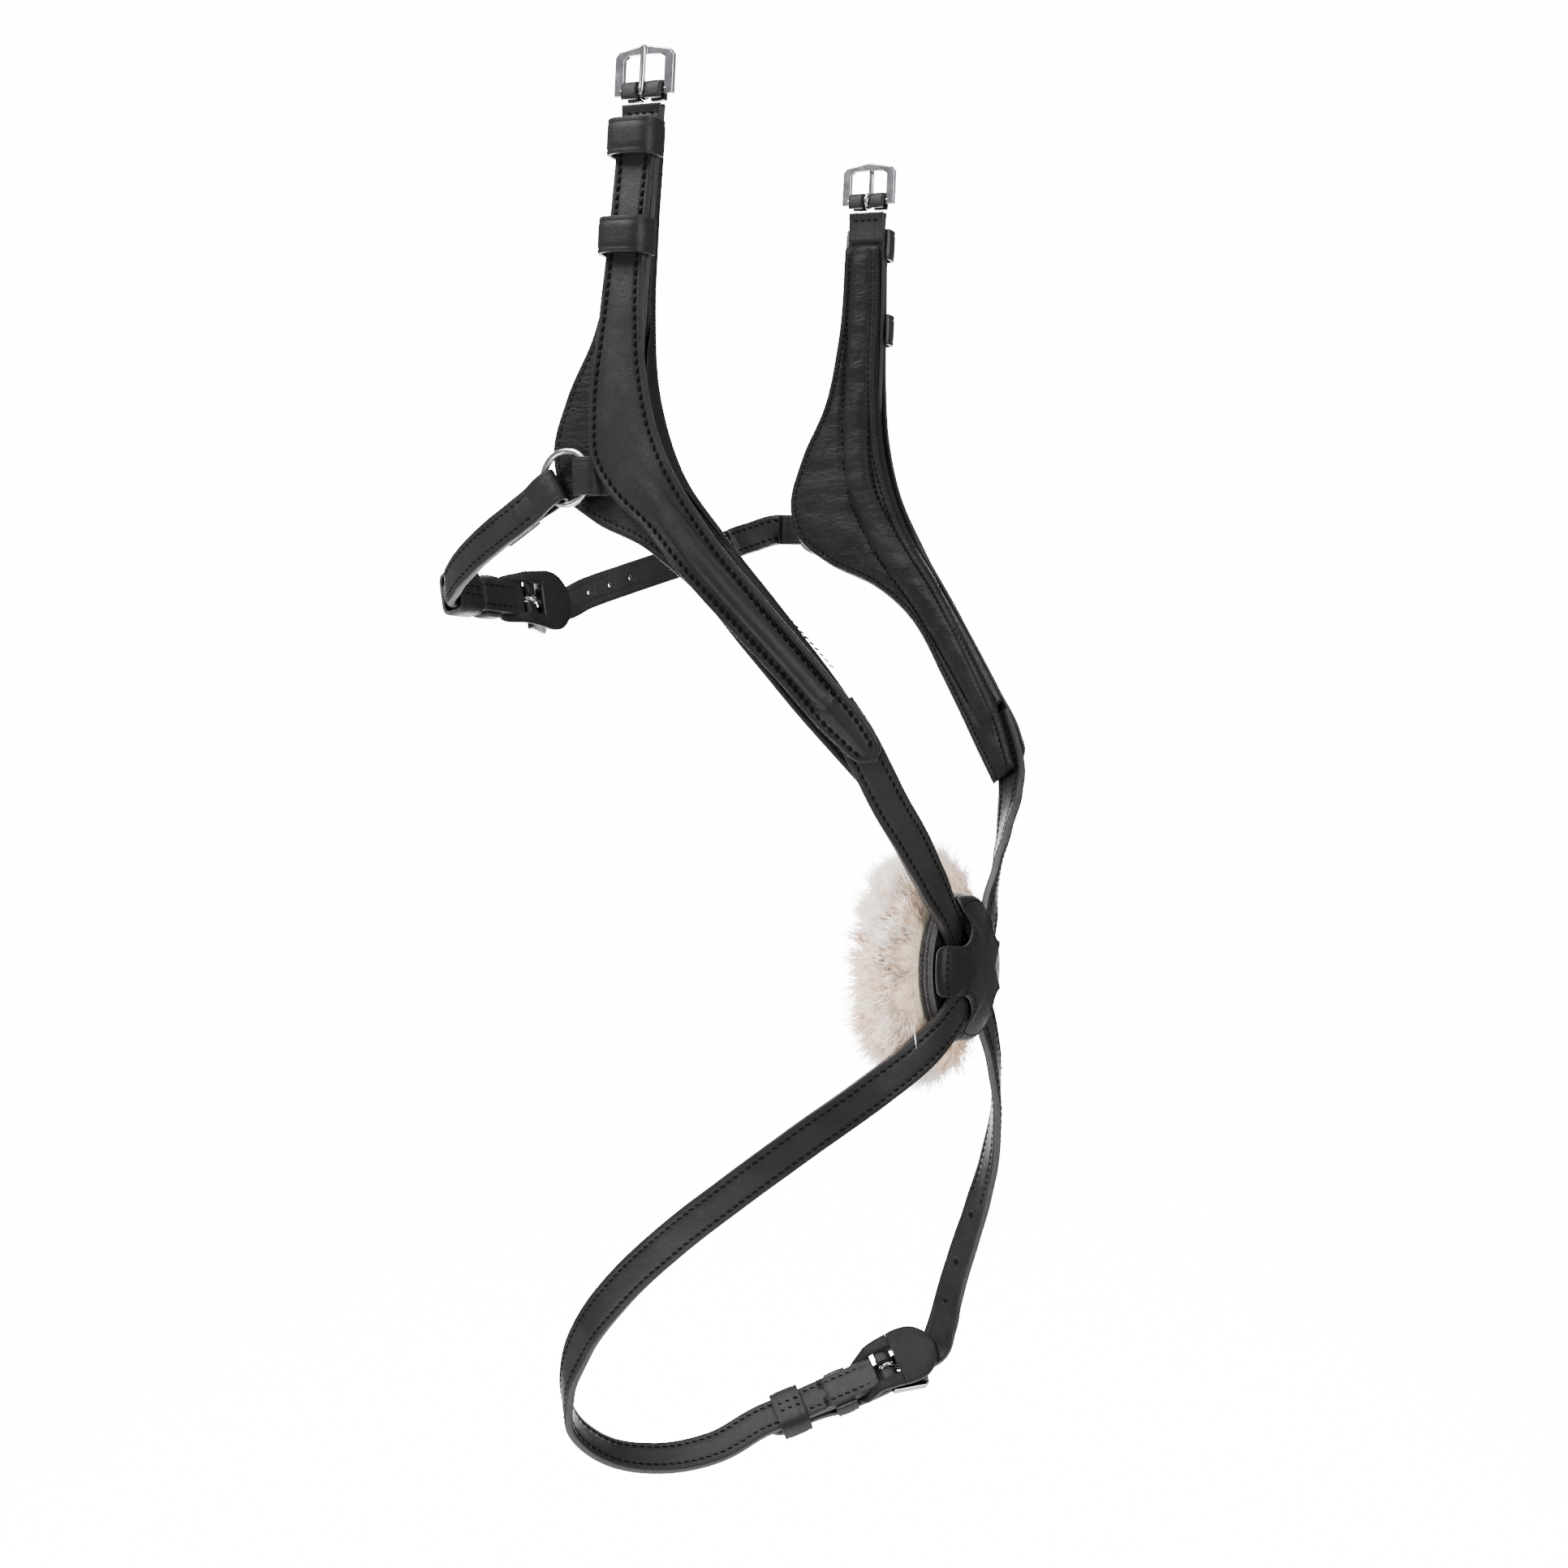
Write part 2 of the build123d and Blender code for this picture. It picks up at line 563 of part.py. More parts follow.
with BuildPart() as cover:
    add(dome(COVER_THICK))
    add(dome(0.0), mode=Mode.SUBTRACT)
    with BuildSketch(back.offset(COVER_RIM - 5)):
        with PolarLocations(SCALLOP_REACH, 4, start_angle=45):
            Circle(SCALLOP_RADIUS)
    extrude(amount=20, mode=Mode.SUBTRACT)
save(cover, "nose_cover")

save(disc(DISC_RADIUS, 81.9, 2.3), "nose_base")
save(disc(DISC_RADIUS - 0.5, 80.1, 1.5), "nose_hook_tape")
save(disc(DISC_RADIUS - 1.0, 78.3, 1.5), "nose_loop_tape")
save(disc(31.0, 76.3, 1.7), "fleece_skin")

WOOL_RADIUS = 46.0
WOOL_BACK = 52.0
with BuildPart() as wool:
    with BuildSketch(Plane.XY.offset(DISC_CENTRE_Z)):
        with BuildLine():
            Polyline((76.0, 0), (76.0, WOOL_RADIUS - 14))
            Spline((76.0, WOOL_RADIUS - 14), (73.0, WOOL_RADIUS - 5), (67, WOOL_RADIUS),
                   (57, WOOL_RADIUS - 6), (WOOL_BACK, WOOL_RADIUS - 18))
            Polyline((WOOL_BACK, WOOL_RADIUS - 18), (WOOL_BACK, 0), (76.0, 0))
        make_face()
    revolve(axis=Axis((0, 0, DISC_CENTRE_Z), (1, 0, 0)))
save(wool, "fleece_wool")

# ---------------------------------------------------------------- strap behind the jaw
jaw = Buckle(bar=(-92.5, -30.0, -177.5), along=(0.17, 0.985, -0.03),
             outward=(-0.96, 0.16, -0.20), tilt=CLOSED_TILT)
jaw_way = (-0.843, 0, -0.538)
jaw_near = Buckle(bar=RING_CENTRE, along=jaw_way, outward=(0, -1, 0))
jaw_far = Buckle(bar=(ring_x, -ring_y, ring_z), along=(-0.995, 0, 0.05), outward=(0, 1, 0))
LOOP_PLY = (STRAP_THICK + TURNED) / 2

buckle_side_run = [
    (jaw_near.at(17.0, 0), jaw_near.n, STRAP_THICK),
    (jaw_near.at(20.5, 0), jaw_near.n, STRAP_THICK),
    (jaw_near.at(24.0, 0), jaw_near.n, STRAP_THICK),
    ((-62.0, -100.0, -158.8), (-0.22, -0.96, -0.10), STRAP_THICK),
    ((-78.0, -92.8, -166.0), (-0.52, -0.84, -0.12), STRAP_THICK),
    ((-90.8, -84.5, -172.3), (-0.78, -0.60, -0.18), STRAP_THICK),
    (jaw.at(-43, 0.0), jaw.n, STRAP_THICK),
    (jaw.at(-39, 0.0), jaw.n, STRAP_THICK),
    (jaw.at(-28, 0.0), jaw.n, STRAP_THICK),
]
with BuildPart() as jaw_buckle_side:
    add(ring_loop(jaw_near, JAW_WIDTH + TURNED, LOOP_PLY, end_of_loop=16, length=20.1))
    add(strap(buckle_side_run, JAW_WIDTH, lead_in=jaw_near.s, lead_out=jaw.s))
    add(folded_end(jaw, JAW_WIDTH + TURNED, STRAP_THICK + TURNED, 30.2))
save(jaw_buckle_side, "jaw_strap_buckle_side")

billet_jaw = billet_run(jaw, -44)
billet_side_run = [
    (jaw_far.at(18.0, 0), jaw_far.n, STRAP_THICK),
    ((-56.0, 92.5, -143.2), (-0.45, 0.88, -0.05), 3.2),
    ((-62.5, 72.0, -150.0), (-0.82, 0.55, -0.12), BILLET_THICK),
    ((-70.0, 46.0, -158.0), (-0.93, 0.32, -0.14), BILLET_THICK),
    ((-78.5, 20.0, -166.5), (-0.94, 0.28, -0.16), BILLET_THICK),
    ((-85.5, 2.0, -173.0), (-0.95, 0.24, -0.18), BILLET_THICK),
]
jaw_holes = [(jaw.at(-13, 6.2), jaw.n, jaw.s)]
jaw_holes += [((-80.9 - 4.2 * i, 13.6 - 10 * i, -168.8 - 3.6 * i), (-0.95, 0.25, -0.17),
               (0.4, 0.9, 0.35)) for i in (-1, 0, 1)]
jaw_billet = strap(billet_side_run + billet_jaw, JAW_WIDTH, lead_in=jaw_far.s,
                   lead_out=-jaw.s)
with BuildPart() as jaw_billet_side:
    add(punched(jaw_billet, jaw_holes, (jaw.at(7.4, 3.7), jaw.n, jaw.s)).part)
    add(ring_loop(jaw_far, JAW_WIDTH + TURNED, LOOP_PLY, end_of_loop=16, length=20.1))
save(jaw_billet_side, "jaw_strap_billet_side")

closed_buckle(jaw, "jaw", JAW_WIDTH, -36.5)
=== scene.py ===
"""Looks of the crossed (figure-eight) noseband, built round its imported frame.

Metres in Blender.  Lists of places are in millimetres in the part's own frame (+X the way the
horse faces, +Y its left, +Z up) and are scaled by MM when they become geometry.
"""
import math
import random

import bmesh
import bpy
import numpy as np
from mathutils import Matrix, Vector, noise


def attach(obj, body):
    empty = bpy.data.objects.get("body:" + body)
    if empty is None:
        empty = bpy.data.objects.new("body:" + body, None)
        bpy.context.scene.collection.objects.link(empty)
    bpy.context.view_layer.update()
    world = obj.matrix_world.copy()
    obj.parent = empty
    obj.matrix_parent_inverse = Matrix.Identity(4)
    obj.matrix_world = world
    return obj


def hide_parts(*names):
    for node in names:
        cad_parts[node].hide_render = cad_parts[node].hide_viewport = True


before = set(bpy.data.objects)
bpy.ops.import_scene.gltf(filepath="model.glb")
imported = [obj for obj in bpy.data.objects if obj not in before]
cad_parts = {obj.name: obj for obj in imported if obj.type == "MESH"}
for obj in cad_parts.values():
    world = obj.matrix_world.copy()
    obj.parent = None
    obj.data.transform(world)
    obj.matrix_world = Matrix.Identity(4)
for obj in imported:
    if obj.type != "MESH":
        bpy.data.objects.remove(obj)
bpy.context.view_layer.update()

MM = 0.001
rng = random.Random(7)

# ------------------------------------------------------------------ sizes shared with the part
NOSE_WIDTH, JAW_WIDTH, CHEEK_WIDTH = 14.0, 13.0, 16.0
STRAP_THICK, BILLET_THICK, KEEPER_THICK, GUARD_THICK = 3.4, 3.0, 1.8, 1.8
CORE_THICK, FACING_THICK = 3.8, 2.6
CORE_LIFT = 0.3
FACING_LIFT = 4.4
RING_CENTRE = Vector((-28.0, -104.5, -139.8))
DISC_Z = -321.5
TOP_BAR_Y = 96.0
LEAN = math.radians(3.0)
BAR_HOLD = 1.45        # inside radius of a strap's fold round a heel bar
RING_HOLD = 1.4        # inside radius of a strap's fold round a ring
TONGUE_SLOT_HALF = 1.75
PUNCH_RADIUS = 1.6
PUNCH_LENGTH = 9.0
LONG_SLOT_HALF = 2.9

CHEEK_STATIONS = [
    (5, 93.6, 0.00, 3.0), (-20, 94.3, 0.00, 3.0), (-45, 97.0, 0.00, 4.4),
    (-75, 99.0, 0.00, 6.4), (-115, 99.8, 0.00, 6.8), (-141, 99.6, 0.01, 6.8),
    (-160, 98.9, 0.12, 6.6), (-178, 108.6, 0.45, 6.2), (-195, 109.7, 0.49, 5.8),
    (-225, 104.4, 0.45, 5.0), (-258, 93.0, 0.40, 4.0),
]
PADDING_FRONT = [(6.5, -20), (5.3, -50), (4.2, -80), (6.2, -110), (15.5, -139),
                 (34, -166.5), (54, -195.5), (71, -222.5), (81.5, -245)]
PADDING_REAR = [(-9.5, -20), (-14, -60), (-20.5, -87), (-32, -110), (-37.5, -130), (-34, -144),
                (-21, -155), (3, -167), (20, -181), (38.5, -206), (56, -231), (71, -251.5)]
FACING_FRONT = [(7.4, -12), (5.5, -45), (4.2, -80), (5.5, -103), (11, -127), (25, -154),
                (44, -181), (66.5, -212), (79.5, -231), (82.3, -238.5), (80.4, -243.6)]
FACING_REAR = [(-8.6, -12), (-10, -45), (-13.2, -80), (-17.5, -118), (-16.2, -135), (-9, -146.5),
               (5.5, -160.5), (29, -188), (51.5, -216), (68, -237.5), (75.5, -244.2),
               (80.4, -243.6)]
CORE_LINE = [(-0.5, -8, 8.0), (-2.4, -45, 8.0), (-4.4, -80, 8.0), (-5.2, -104, 8.0),
             (-2.5, -125, 8.0), (6, -143, 8.0), (20, -163, 7.6), (34, -181, 7.0),
             (52, -204, 6.2), (64.5, -220.5, 5.6)]


# ------------------------------------------------------------------ materials
def new_material(name, rough, metallic=0.0, coat=0.0, sheen=0.0, specular=0.5):
    """A node material with its principled shader's plain values set on its own sockets."""
    mat = bpy.data.materials.new(name)
    mat.use_nodes = True
    nodes, links = mat.node_tree.nodes, mat.node_tree.links
    shader = nodes["Principled BSDF"]
    shader.inputs["Roughness"].default_value = rough
    shader.inputs["Metallic"].default_value = metallic
    shader.inputs["Coat Weight"].default_value = coat
    shader.inputs["Coat Roughness"].default_value = 0.35
    shader.inputs["Sheen Weight"].default_value = sheen
    shader.inputs["Specular IOR Level"].default_value = specular
    coords = nodes.new("ShaderNodeTexCoord")
    return mat, nodes, links, shader, coords.outputs["Object"]


def noise_node(nodes, links, coords, scale, detail=3.0, distortion=0.0, stretch=None):
    tex = nodes.new("ShaderNodeTexNoise")
    tex.inputs["Scale"].default_value = scale
    tex.inputs["Detail"].default_value = detail
    tex.inputs["Distortion"].default_value = distortion
    if stretch:
        mapping = nodes.new("ShaderNodeMapping")
        mapping.inputs["Scale"].default_value = stretch
        links.new(coords, mapping.inputs["Vector"])
        coords = mapping.outputs["Vector"]
    links.new(coords, tex.inputs["Vector"])
    return tex.outputs["Fac"]


def ramp_node(nodes, links, value, stops):
    ramp = nodes.new("ShaderNodeValToRGB")
    while len(ramp.color_ramp.elements) < len(stops):
        ramp.color_ramp.elements.new(0.5)
    for element, (at, colour) in zip(ramp.color_ramp.elements, stops):
        element.position = at
        element.color = (*colour, 1.0)
    links.new(value, ramp.inputs["Fac"])
    return ramp.outputs["Color"]


def range_node(nodes, links, value, low, high):
    spread = nodes.new("ShaderNodeMapRange")
    spread.inputs["To Min"].default_value = low
    spread.inputs["To Max"].default_value = high
    links.new(value, spread.inputs["Value"])
    return spread.outputs["Result"]


def bump_chain(nodes, links, shader, heights):
    """Stack bumps of (height, strength, distance in metres) on the shader's normal."""
    last = None
    for height, strength, distance in heights:
        bump = nodes.new("ShaderNodeBump")
        bump.inputs["Strength"].default_value = strength
        bump.inputs["Distance"].default_value = distance
        links.new(height, bump.inputs["Height"])
        if last:
            links.new(last, bump.inputs["Normal"])
        last = bump.outputs["Normal"]
    links.new(last, shader.inputs["Normal"])


def pores_node(nodes, links, coords, scale):
    tex = nodes.new("ShaderNodeTexVoronoi")
    tex.feature = "DISTANCE_TO_EDGE"
    tex.inputs["Scale"].default_value = scale
    links.new(coords, tex.inputs["Vector"])
    return tex.outputs["Distance"]


def leather(name, dark, light, rough_low, rough_high, grain, crease=0.0, coat=0.0,
            specular=0.3):
    """Dyed leather: pores, soft unevenness, worn patches and, on lining, fine creases."""
    mat, nodes, links, shader, coords = new_material(name, 0.4, coat=coat, specular=specular)
    patches = noise_node(nodes, links, coords, 60.0, 5.0, 0.4)
    links.new(ramp_node(nodes, links, patches, [(0.3, dark), (0.72, light)]),
              shader.inputs["Base Color"])
    fine = noise_node(nodes, links, coords, 420.0, 4.0)
    links.new(range_node(nodes, links, fine, rough_low, rough_high), shader.inputs["Roughness"])
    heights = [(pores_node(nodes, links, coords, 1150.0), grain, 0.00022),
               (noise_node(nodes, links, coords, 900.0, 3.0), 0.35, 0.00025),
               (noise_node(nodes, links, coords, 90.0, 2.0), 0.30, 0.0014)]
    if crease:
        folds = noise_node(nodes, links, coords, 130.0, 3.0, 1.6, stretch=(1.0, 0.4, 3.2))
        heights.append((folds, crease, 0.0012))
    bump_chain(nodes, links, shader, heights)
    return mat


LEATHER = leather("leather_strap", (0.0028, 0.0028, 0.0029), (0.006, 0.0058, 0.0058), 0.42, 0.58,
                  0.45, specular=0.24)
LINING = leather("leather_lining", (0.0026, 0.0026, 0.0027), (0.0055, 0.0053, 0.0053), 0.42, 0.58,
                 0.55, crease=0.45, specular=0.13)
GUARD_SUEDE = leather("leather_guard", (0.0035, 0.0035, 0.0037), (0.008, 0.0078, 0.0078), 0.50,
                      0.70, 0.6, specular=0.16)
COVER = leather("leather_cover", (0.0028, 0.0028, 0.0029), (0.006, 0.0058, 0.0058), 0.40, 0.52,
                0.25, specular=0.16)


def edge_material():
    """Burnished edge of sewn plies: long fibres and a thin paler line."""
    mat, nodes, links, shader, coords = new_material("leather_edge", 0.55)
    fibre = noise_node(nodes, links, coords, 700.0, 4.0, 0.3, stretch=(1.0, 1.0, 0.25))
    links.new(ramp_node(nodes, links, fibre, [(0.3, (0.006, 0.006, 0.0065)),
                                              (0.75, (0.028, 0.027, 0.028))]),
              shader.inputs["Base Color"])
    links.new(range_node(nodes, links, fibre, 0.42, 0.68), shader.inputs["Roughness"])
    bump_chain(nodes, links, shader, [(fibre, 0.5, 0.0003)])
    return mat


def thread_material():
    mat, nodes, links, shader, coords = new_material("thread", 0.8, specular=0.08)
    twist = noise_node(nodes, links, coords, 1800.0, 2.0)
    links.new(ramp_node(nodes, links, twist, [(0.3, (0.0008, 0.0008, 0.0009)),
                                              (0.8, (0.0028, 0.0028, 0.003))]),
              shader.inputs["Base Color"])
    bump_chain(nodes, links, shader, [(twist, 0.5, 0.0002)])
    return mat


def cut_edge_material():
    """Undyed grey cut edge round the disc's scallops and of the backing layers."""
    mat, nodes, links, shader, coords = new_material("leather_cut_edge", 0.8, sheen=0.3)
    nap = noise_node(nodes, links, coords, 1100.0, 4.0)
    links.new(ramp_node(nodes, links, nap, [(0.3, (0.012, 0.012, 0.013)),
                                            (0.8, (0.060, 0.060, 0.064))]),
              shader.inputs["Base Color"])
    bump_chain(nodes, links, shader, [(nap, 0.6, 0.0003)])
    return mat


def steel_material():
    """Polished stainless steel: faint drawn lines and small smudges."""
    mat, nodes, links, shader, coords = new_material("polished_steel", 0.14, metallic=1.0)
    smudge = noise_node(nodes, links, coords, 260.0, 4.0, 0.5)
    links.new(ramp_node(nodes, links, smudge, [(0.25, (0.36, 0.34, 0.37)),
                                               (0.8, (0.52, 0.50, 0.54))]),
              shader.inputs["Base Color"])
    links.new(range_node(nodes, links, smudge, 0.07, 0.24), shader.inputs["Roughness"])
    lines = noise_node(nodes, links, coords, 900.0, 2.0, stretch=(1.0, 1.0, 0.08))
    bump_chain(nodes, links, shader, [(lines, 0.06, 0.0002)])
    return mat


def tape_material():
    mat, nodes, links, shader, coords = new_material("hook_and_loop", 0.85, sheen=0.6)
    fuzz = noise_node(nodes, links, coords, 1300.0, 4.0, 0.6)
    links.new(ramp_node(nodes, links, fuzz, [(0.3, (0.010, 0.0105, 0.012)),
                                             (0.8, (0.060, 0.062, 0.068))]),
              shader.inputs["Base Color"])
    bump_chain(nodes, links, shader, [(fuzz, 0.8, 0.0005)])
    return mat


def skin_material():
    mat, nodes, links, shader, coords = new_material("sheepskin_suede", 0.85, sheen=0.4)
    nap = noise_node(nodes, links, coords, 500.0, 4.0)
    links.new(ramp_node(nodes, links, nap, [(0.3, (0.62, 0.50, 0.34)), (0.8, (0.80, 0.70, 0.53))]),
              shader.inputs["Base Color"])
    bump_chain(nodes, links, shader, [(nap, 0.5, 0.0004)])
    return mat


def wool_material(name, inner, outer, patch):
    """Wool coloured by 'tip', a value stored along each lock, with warm patches near the skin."""
    mat, nodes, links, shader, coords = new_material(name, 0.75, sheen=0.5)
    shader.inputs["Subsurface Weight"].default_value = 0.35
    shader.inputs["Subsurface Radius"].default_value = (0.006, 0.004, 0.0025)
    shader.inputs["Subsurface Scale"].default_value = 1.0
    tip = nodes.new("ShaderNodeAttribute")
    tip.attribute_name = "tip"
    along = ramp_node(nodes, links, tip.outputs["Fac"], [(0.0, inner), (0.85, outer)])
    warm = ramp_node(nodes, links, noise_node(nodes, links, coords, 38.0, 3.0),
                     [(0.42, (1.0, 1.0, 1.0)), (0.72, patch)])
    mix = nodes.new("ShaderNodeMix")
    mix.data_type = "RGBA"
    mix.blend_type = "MULTIPLY"
    mix.inputs["Factor"].default_value = 1.0
    links.new(along, mix.inputs["A"])
    links.new(warm, mix.inputs["B"])
    links.new(mix.outputs["Result"], shader.inputs["Base Color"])
    bump_chain(nodes, links, shader, [(noise_node(nodes, links, coords, 600.0, 3.0), 0.3, 0.0006)])
    return mat


EDGE = edge_material()
THREAD = thread_material()
CUT_EDGE = cut_edge_material()
STEEL = steel_material()
TAPE = tape_material()
SKIN = skin_material()
WOOL = wool_material("wool_locks", (1.0, 0.68, 0.38), (1.0, 0.95, 0.88), (1.0, 0.84, 0.64))


# ------------------------------------------------------------------ mesh helpers
def make_object(name, verts, faces, mats, face_mats=None, smooth=True):
    """A mesh object from points in millimetres."""
    mesh = bpy.data.meshes.new(name)
    mesh.from_pydata([tuple(c * MM for c in v) for v in verts], [], faces)
    for mat in mats:
        mesh.materials.append(mat)
    if face_mats:
        mesh.polygons.foreach_set("material_index", face_mats)
    mesh.polygons.foreach_set("use_smooth", [smooth] * len(mesh.polygons))
    mesh.update()
    work = bmesh.new()
    work.from_mesh(mesh)
    bmesh.ops.recalc_face_normals(work, faces=work.faces)
    work.to_mesh(mesh)
    work.free()
    obj = bpy.data.objects.new(name, mesh)
    bpy.context.scene.collection.objects.link(obj)
    return obj


def place(obj, body, slot, *nodes):
    """Ride on a body and stand for CAD nodes; slot is not used."""
    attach(obj, body)
    if nodes:
        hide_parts(*nodes)
    return obj


def curve_slopes(gaps):
    """Directions at the points of a curve, from the steps between them, weighted by spacing."""
    slopes = [gaps[0].normalized()]
    for back, ahead in zip(gaps, gaps[1:]):
        slopes.append((back * (ahead.length / back.length)
                       + ahead * (back.length / ahead.length)).normalized())
    slopes.append(gaps[-1].normalized())
    return slopes


def curve_place(points, slopes, span, i, t):
    """The place at a share t of a curve's span i."""
    return (points[i] * (2 * t ** 3 - 3 * t ** 2 + 1) + points[i + 1] * (3 * t ** 2 - 2 * t ** 3)
            + slopes[i] * (span * (t ** 3 - 2 * t ** 2 + t))
            + slopes[i + 1] * (span * (t ** 3 - t ** 2)))


def tube_faces(base, rows, columns):
    """Quads between rows of points, each row going once round, numbered from base."""
    faces = []
    for i in range(rows - 1):
        a, b = base + i * columns, base + (i + 1) * columns
        for k in range(columns):
            m = (k + 1) % columns
            faces.append((a + k, a + m, b + m, b + k))
    return faces


def curve_points(points, closed=False, per_span=10):
    """Points on a smooth curve through 2D or 3D points, with slopes weighted by spacing."""
    pts = [Vector(p) for p in points]
    if closed:
        pts = [pts[-1]] + pts + [pts[0], pts[1]]
    gaps = [b - a for a, b in zip(pts, pts[1:])]
    slopes = curve_slopes(gaps)
    first, last = (1, len(pts) - 2) if closed else (0, len(pts) - 1)
    out = []
    for i in range(first, last):
        for k in range(per_span):
            out.append(curve_place(pts, slopes, gaps[i].length, i, k / per_span))
    if not closed:
        out.append(pts[-1])
    return out


def even_points(points, count):
    """count points evenly spaced along a line of points."""
    steps = [0.0]
    for a, b in zip(points, points[1:]):
        steps.append(steps[-1] + (b - a).length)
    out, j = [], 0
    for i in range(count):
        want = steps[-1] * i / (count - 1)
        while j < len(points) - 2 and steps[j + 1] < want:
            j += 1
        gap = steps[j + 1] - steps[j]
        f = (want - steps[j]) / gap if gap else 0.0
        out.append(points[j].lerp(points[j + 1], min(max(f, 0.0), 1.0)))
    return out


class Section:
    """One place along a strap: middle, direction, outer normal, across, width, thickness."""

    def __init__(self, mid, along, out, width, thick):
        self.mid = Vector(mid)
        self.along = Vector(along).normalized()
        out = Vector(out)
        self.out = (out - self.along * out.dot(self.along)).normalized()
        self.across = self.along.cross(self.out)
        self.width = width
        self.thick = thick

    def at(self, w, n):
        return self.mid + self.across * w + self.out * n


def strap_sections(stations, width, lead_in=None, lead_out=None, per_span=9):
    """Sections on the smooth curve that the part's own straps follow."""
    middles = [Vector(m) for m, _, _ in stations]
    normals = [Vector(n).normalized() for _, n, _ in stations]
    gaps = [b - a for a, b in zip(middles, middles[1:])]
    slopes = curve_slopes(gaps)
    if lead_in:
        slopes[0] = Vector(lead_in).normalized()
    if lead_out:
        slopes[-1] = Vector(lead_out).normalized()
    sections = []
    last = len(gaps)
    for i in range(last):
        span = gaps[i].length
        for k in range(per_span + (i == last - 1)):
            t = k / per_span
            mid = curve_place(middles, slopes, span, i, t)
            along = (middles[i] * (6 * t ** 2 - 6 * t) + middles[i + 1] * (6 * t - 6 * t ** 2)
                     + slopes[i] * (span * (3 * t ** 2 - 4 * t + 1))
                     + slopes[i + 1] * (span * (3 * t ** 2 - 2 * t)))
            normal = normals[i].lerp(normals[i + 1], t * t * (3 - 2 * t))
            thick = stations[i][2] * (1 - t) + stations[i + 1][2] * t
            sections.append(Section(mid, along, normal, width, thick))
    return sections


def profile(width, thick, groove_at, groove_deep, crown):
    """Cross-section (w, n, is_edge) of a finished strap, going once round it."""
    half, top = width / 2, thick / 2
    scale = min(1.0, half / 5.0)
    soft = min(0.9, thick * 0.3)
    g = groove_at * scale
    face = [(0.0, top + crown), (0.45 * (half - g), top + crown * 0.8),
            (half - g - 0.55 * scale, top), (half - g, top - groove_deep),
            (half - g + 0.55 * scale, top - 0.02), (half - 1.05 * scale, top - 0.03),
            (half - 0.8 * scale, top - 0.16), (half - 0.5 * scale, top - 0.10),
            (half - 0.22 * scale, top - 0.28 * soft), (half - 0.05 * scale, top - 0.65 * soft)]
    side = [(half, top - 1.15 * soft), (half + 0.04, 0.0), (half, -top + 1.15 * soft)]
    quarter = [(w, n, False) for w, n in face] + [(w, n, True) for w, n in side]
    under = [(w, -n if n > 0 else n, False) for w, n in reversed(face)]
    right = quarter + under
    left = [(-w, n, e) for w, n, e in reversed(right[1:-1])]
    return right + left


def band(name, sections, groove_at=2.6, groove_deep=0.22, crown=0.08, closed=False, mats=None,
         wobble=0.0):
    """Sweep the finished-strap profile through sections; closed joins the last to the first."""
    verts, faces, face_mats = [], [], []
    count = 0
    for i, s in enumerate(sections):
        ring = profile(s.width, s.thick, groove_at, groove_deep, crown)
        count = len(ring)
        for w, n, _ in ring:
            p = s.at(w, n)
            if wobble:
                p += s.out * wobble * noise.noise(p * 0.09) + s.across * wobble * 0.6 * noise.noise(
                    p * 0.05 + Vector((7, 3, 1)))
            verts.append(p)
    edges = [e for _, _, e in profile(10, 3, groove_at, groove_deep, crown)]
    last = len(sections) if closed else len(sections) - 1
    for i in range(last):
        a, b = i * count, ((i + 1) % len(sections)) * count
        for j in range(count):
            k = (j + 1) % count
            faces.append((a + j, a + k, b + k, b + j))
            face_mats.append(1 if edges[j] or edges[k] else 0)
    if not closed:
        faces.append(tuple(range(count)))
        faces.append(tuple((len(sections) - 1) * count + j for j in reversed(range(count))))
        face_mats += [1, 1]
    return make_object(name, verts, faces, mats or [LEATHER, EDGE], face_mats)


